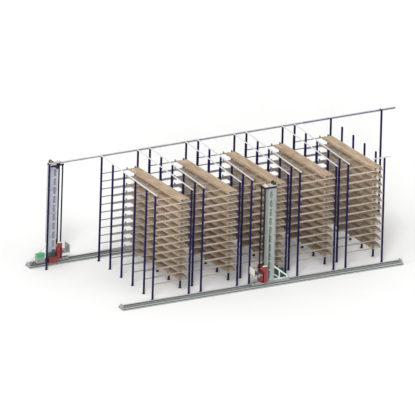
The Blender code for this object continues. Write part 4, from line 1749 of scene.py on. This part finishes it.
def makeCheeks():
    # the side frames rise past the head plate, outside its edges
    pieces = []
    for side in (-1, 1):
        cheek = mirrored(side, *carriage["cheekReach"])
        pieces.append(bar(carriage["cheekSpan"], cheek, carriage["cheekHeight"], bevel=0.008,
                          faces=facing("Y"), panel=(0.05, -0.012)))
    return join(pieces)


def makeCarriageCap():
    pieces = [bar(*carriage["cap"], bevel=0.01, faces=facing("Z", 1), panel=(0.05, -0.008))]
    for side in (-1, 1):
        pieces.append(bar(carriage["padSpan"], mirrored(side, *carriage["padReach"]), carriage["padHeight"],
                          bevel=0.008))
    return join(pieces)


def makeGuideRollers():
    pieces = []
    for z in carriage["rollerHeights"]:
        for side in (-1, 1):
            for x in carriage["rollerPlaces"]:
                pieces.append(tube((x, side * carriage["rollerReach"], z), carriage["rollerRadius"],
                                   carriage["rollerLength"], "Y", panel=(0.008, -0.004)))
    return smooth(join(pieces))


# Heights in these two are from the load table's top

table = {
    "span": (0.99, 1.9),
    "half": 0.54,
    "thickness": 0.1,
    "strutStart": (1.02, -0.5),
    "strutEnd": (1.6, -0.11),
    "strutThickness": 0.09,
    "strutHalf": 0.055,
    "backSpan": (0.99, 1.07),
    "backHalf": 0.06,
    "backHeight": (-0.55, -0.1),
    "sillReach": 0.211,
    "sillHalfX": 0.03,
    "sillHalfY": 0.5,
    "sillHeight": (-0.001, 0.06),
    "guard": ((1.842, 1.898), (-0.5, 0.5)),
    "guardHeight": (-0.002, 0.7),
    "guardRib": ((1.88, 1.9), (-0.44, 0.44)),
    "guardRibs": ((0.22, 0.25), (0.44, 0.47)),
}
fork = {
    "x": 1.3612,
    "channelHalf": 0.1806,
    "channelReach": 0.55,
    "floorHeight": (0.0005, 0.03),
    "wallReach": (0.1796, 0.1406),
    "wallHeight": (0.02, 0.09),
    "tipHalf": 0.14,
    "reach": 0.549,
    "tipHeight": (0.0305, 0.12),
}


def makeLoadTable(top):
    pieces = [bar(table["span"], around(0, table["half"]), (top - table["thickness"], top), bevel=0.008,
                  faces=facing("Y"), panel=(0.02, -0.03))]
    start, end = ((x, top + z) for x, z in (table["strutStart"], table["strutEnd"]))
    pieces.append(makeStrut(start, end, table["strutThickness"], table["strutHalf"]))
    pieces.append(bar(table["backSpan"], around(0, table["backHalf"]), shifted(table["backHeight"], top)))
    for side in (-1, 1):
        x = fork["x"] + side * table["sillReach"]
        pieces.append(bar(around(x, table["sillHalfX"]), around(0, table["sillHalfY"]),
                          shifted(table["sillHeight"], top)))
    return join(pieces)


def makeGuard(top):
    pieces = [bar(*table["guard"], shifted(table["guardHeight"], top), bevel=0.01, faces=facing("X"),
                  panel=(0.06, -0.012))]
    pieces += [bar(*table["guardRib"], shifted(height, top), bevel=0.004) for height in table["guardRibs"]]
    return join(pieces)


def makeForkChannel(top):
    pieces = [bar(around(fork["x"], fork["channelHalf"]), around(0, fork["channelReach"]),
                  shifted(fork["floorHeight"], top), bevel=0.004)]
    for side in (-1, 1):
        wall = shifted(mirrored(side, *fork["wallReach"]), fork["x"])
        pieces.append(bar(wall, around(0, fork["reach"]), shifted(fork["wallHeight"], top), bevel=0.005,
                          faces=facing("X"), panel=(0.012, -0.006)))
    return join(pieces)


def makeForkTip(top):
    return bar(around(fork["x"], fork["tipHalf"]), around(0, fork["reach"]), shifted(fork["tipHeight"], top),
               bevel=0.008, faces=facing("Z", 1), panel=(0.03, -0.01))


conduit = {
    "pipe": {"centre": (0.19, 0.305, 3.15), "radius": 0.032, "length": 5.1},
    "clip": ((0.14, 0.24), (0.269, 0.342)),
    "clips": ((0.8, 0.83), (2.2, 2.23), (3.6, 3.63), (5.0, 5.03)),
}


def makeConduit():
    pieces = [tube(**conduit["pipe"], sides=12)]
    pieces += [bar(*conduit["clip"], height, bevel=0.004) for height in conduit["clips"]]
    return join(pieces)


def dressCrane(name):
    settings = cranes[name]
    top = settings["tableHeight"]
    rearX, frontX = base["wheels"]
    parts = [
        (makeBase(), "base_beam", "machineGrey", "machine_grey", "", "base"),
        (makeBuffers(), "buffers", "blackRubber", "dark_steel", "", None),
        (makeTravelDrive(), "travel_drive", "oiledGrey", "dark_steel", "", None),
        (makeWheel(rearX), "rear_travel_wheel", "oiledSteel", "dark_steel", "_rear_wheel", "rear_wheel"),
        (makeWheel(frontX), "front_travel_wheel", "oiledSteel", "dark_steel", "_front_wheel", "front_wheel"),
        (makeMast(), "mast_box", settings["mast"], "mast_grey", "", "mast"),
        (makeCollars(), "mast_collars", "mastGrey", "mast_grey", "", None),
        (makeLattice(), "mast_lattice", "mastGrey", "mast_grey", "", None),
        (makeLadder(), "ladder", "machineGrey", "machine_grey", "", None),
        (makeBrace(), "mast_brace", "tieWhite", "machine_grey", "", "brace"),
        (makeGuideFrame(name), "guide_columns", settings["columns"], "upright_blue", "", "guide_frame"),
        (makeHeadCap(), "head_cap", "guardCream", "machine_grey", "", None),
        (makeSheaves(), "head_sheaves", settings["sheaves"], "dark_steel", "", None),
        (makeCabinet(**cabinet["control"]), "control_cabinet", settings["cabinet"], "cabinet_green", "",
         "cabinet"),
        (makeCabinet(**cabinet["power"]), "power_cabinet", settings["power"], "machine_grey", "", "cabinet"),
        (makePlinth(), "cabinet_plinth", "oiledSteel", "dark_steel", "", "cabinet"),
        (makeGearbox(), "hoist_gearbox", "machineRed", "machine_red", "", "hoist_drive"),
        (makeMotor(), "hoist_motor", "motorGreen", "dark_steel", "", None),
        (makeDrum(), "hoist_drum", "oiledSteel", "dark_steel", "_rope_drum", "rope_drum"),
        (makeCarriage(), "lift_carriage", "machineRed", "machine_red", "_carriage", "carriage"),
        (makeCheeks(), "carriage_cheeks", "machineRed", "machine_red", "_carriage", None),
        (makeCarriageCap(), "carriage_cap", "guardCream", "machine_grey", "_carriage", None),
        (makeLoadTable(top), "load_table", "machineGrey", "machine_grey", "_carriage", "carriage"),
        (makeGuideRollers(), "carriage_rollers", "oiledSteel", "dark_steel", "_carriage", None),
        (makeGuard(top), "load_guard", settings["guard"], "machine_grey", "_carriage", "carriage"),
        (makeForkChannel(top), "fork_slide", "oiledSteel", "dark_steel", "_fork_channel", "fork_channel"),
        (makeForkTip(top), "fork_blade", "brightSteel", "brushed_steel", "_fork_tip", "fork_tip"),
    ]
    if name == "front_crane":
        parts.append((makeConduit(), "mast_conduit", "conduitGreen", "cabinet_green", "", None))
    place = craneMatrix(name)
    for obj, word, finish, slot, rider, node in parts:
        obj.data.transform(place)
        nodes = [f"{name}_{node}"] if node else ()
        enter(obj, f"{name}_{word}", finishes[finish], name + rider, nodes)


for name in cranes:
    dressCrane(name)
print("stage 9: cranes made")


# Floor, light and camera

floorLook = {
    "size": 400,
    "patchScale": 0.15,
    "colours": ((0.8, 0.8, 0.79), (0.84, 0.84, 0.83)),
    "roughness": 0.8,
}


def makeFloor():
    deselectAll()
    bpy.ops.mesh.primitive_plane_add(size=floorLook["size"], location=(0, 0, 0))
    floor = bpy.context.active_object
    floor.name = "floor"
    material, tree, shader, place = startMaterial("paleFloor")
    shade = noiseNode(tree, place, floorLook["patchScale"], detail=4.0)
    tree.links.new(mixColour(tree, shade, *floorLook["colours"]), shader.inputs["Base Color"])
    shader.inputs["Roughness"].default_value = floorLook["roughness"]
    floor.data.materials.append(material)


skyStrength = 0.75
white = (1.0, 1.0, 1.0)
suns = {
    "keySun": {"angles": (46, 0, -38), "strength": 1.3, "spread": 14, "colour": white},
    "frontSun": {"angles": (77, 0, -30), "strength": 1.5, "spread": 14, "colour": white},
    "sideSun": {"angles": (78, 0, -82), "strength": 1.4, "spread": 14, "colour": (0.93, 0.96, 1.0)},
    "fillSun": {"angles": (62, 0, 50), "strength": 0.4, "spread": 30, "colour": white},
}


def makeLights():
    world = bpy.data.worlds.new("softStudio")
    world.use_nodes = True
    sky = world.node_tree.nodes["Background"]
    sky.inputs["Color"].default_value = (*white, 1.0)
    sky.inputs["Strength"].default_value = skyStrength
    bpy.context.scene.world = world
    for name, values in suns.items():
        lamp = bpy.data.lights.new(name, "SUN")
        lamp.energy = values["strength"]
        lamp.color = values["colour"]
        lamp.angle = math.radians(values["spread"])
        obj = bpy.data.objects.new(name, lamp)
        obj.rotation_euler = [math.radians(angle) for angle in values["angles"]]
        bpy.context.scene.collection.objects.link(obj)


view = {
    "azimuth": -28.1,
    "elevation": 21.4,
    "roll": 1.69,
    "pixelsPerMetre": 10.014,
    "imageSide": 415,
    "anchorPixel": (98.7, 261.1),
    "distance": 120.0,
    "farEnd": 1000.0,
}


def makeCamera():
    azimuth, elevation, roll = (math.radians(view[key]) for key in ("azimuth", "elevation", "roll"))
    level = math.cos(elevation)
    back = Vector((math.sin(azimuth) * level, -math.cos(azimuth) * level, math.sin(elevation)))
    right = Vector((math.cos(azimuth), math.sin(azimuth), 0))
    up = back.cross(right)
    rolledRight = right * math.cos(roll) + up * math.sin(roll)
    rolledUp = up * math.cos(roll) - right * math.sin(roll)
    scale = view["pixelsPerMetre"]
    half = view["imageSide"] / 2
    anchor = Vector((postPlace(0, 0)[0], rearRowY, 0))
    across = (half - view["anchorPixel"][0]) / scale
    rise = (view["anchorPixel"][1] - half) / scale
    centre = anchor + rolledRight * across + rolledUp * rise
    data = bpy.data.cameras.new("photoView")
    data.type = "ORTHO"
    data.ortho_scale = view["imageSide"] / scale
    data.clip_end = view["farEnd"]
    camera = bpy.data.objects.new("photoView", data)
    turn = Matrix((rolledRight, rolledUp, back)).transposed().to_4x4()
    camera.matrix_world = Matrix.Translation(centre + back * view["distance"]) @ turn
    bpy.context.scene.collection.objects.link(camera)
    bpy.context.scene.camera = camera


makeFloor()
makeLights()
makeCamera()
bpy.context.scene.view_settings.view_transform = "Standard"
print("stage 10: floor, light and camera made")
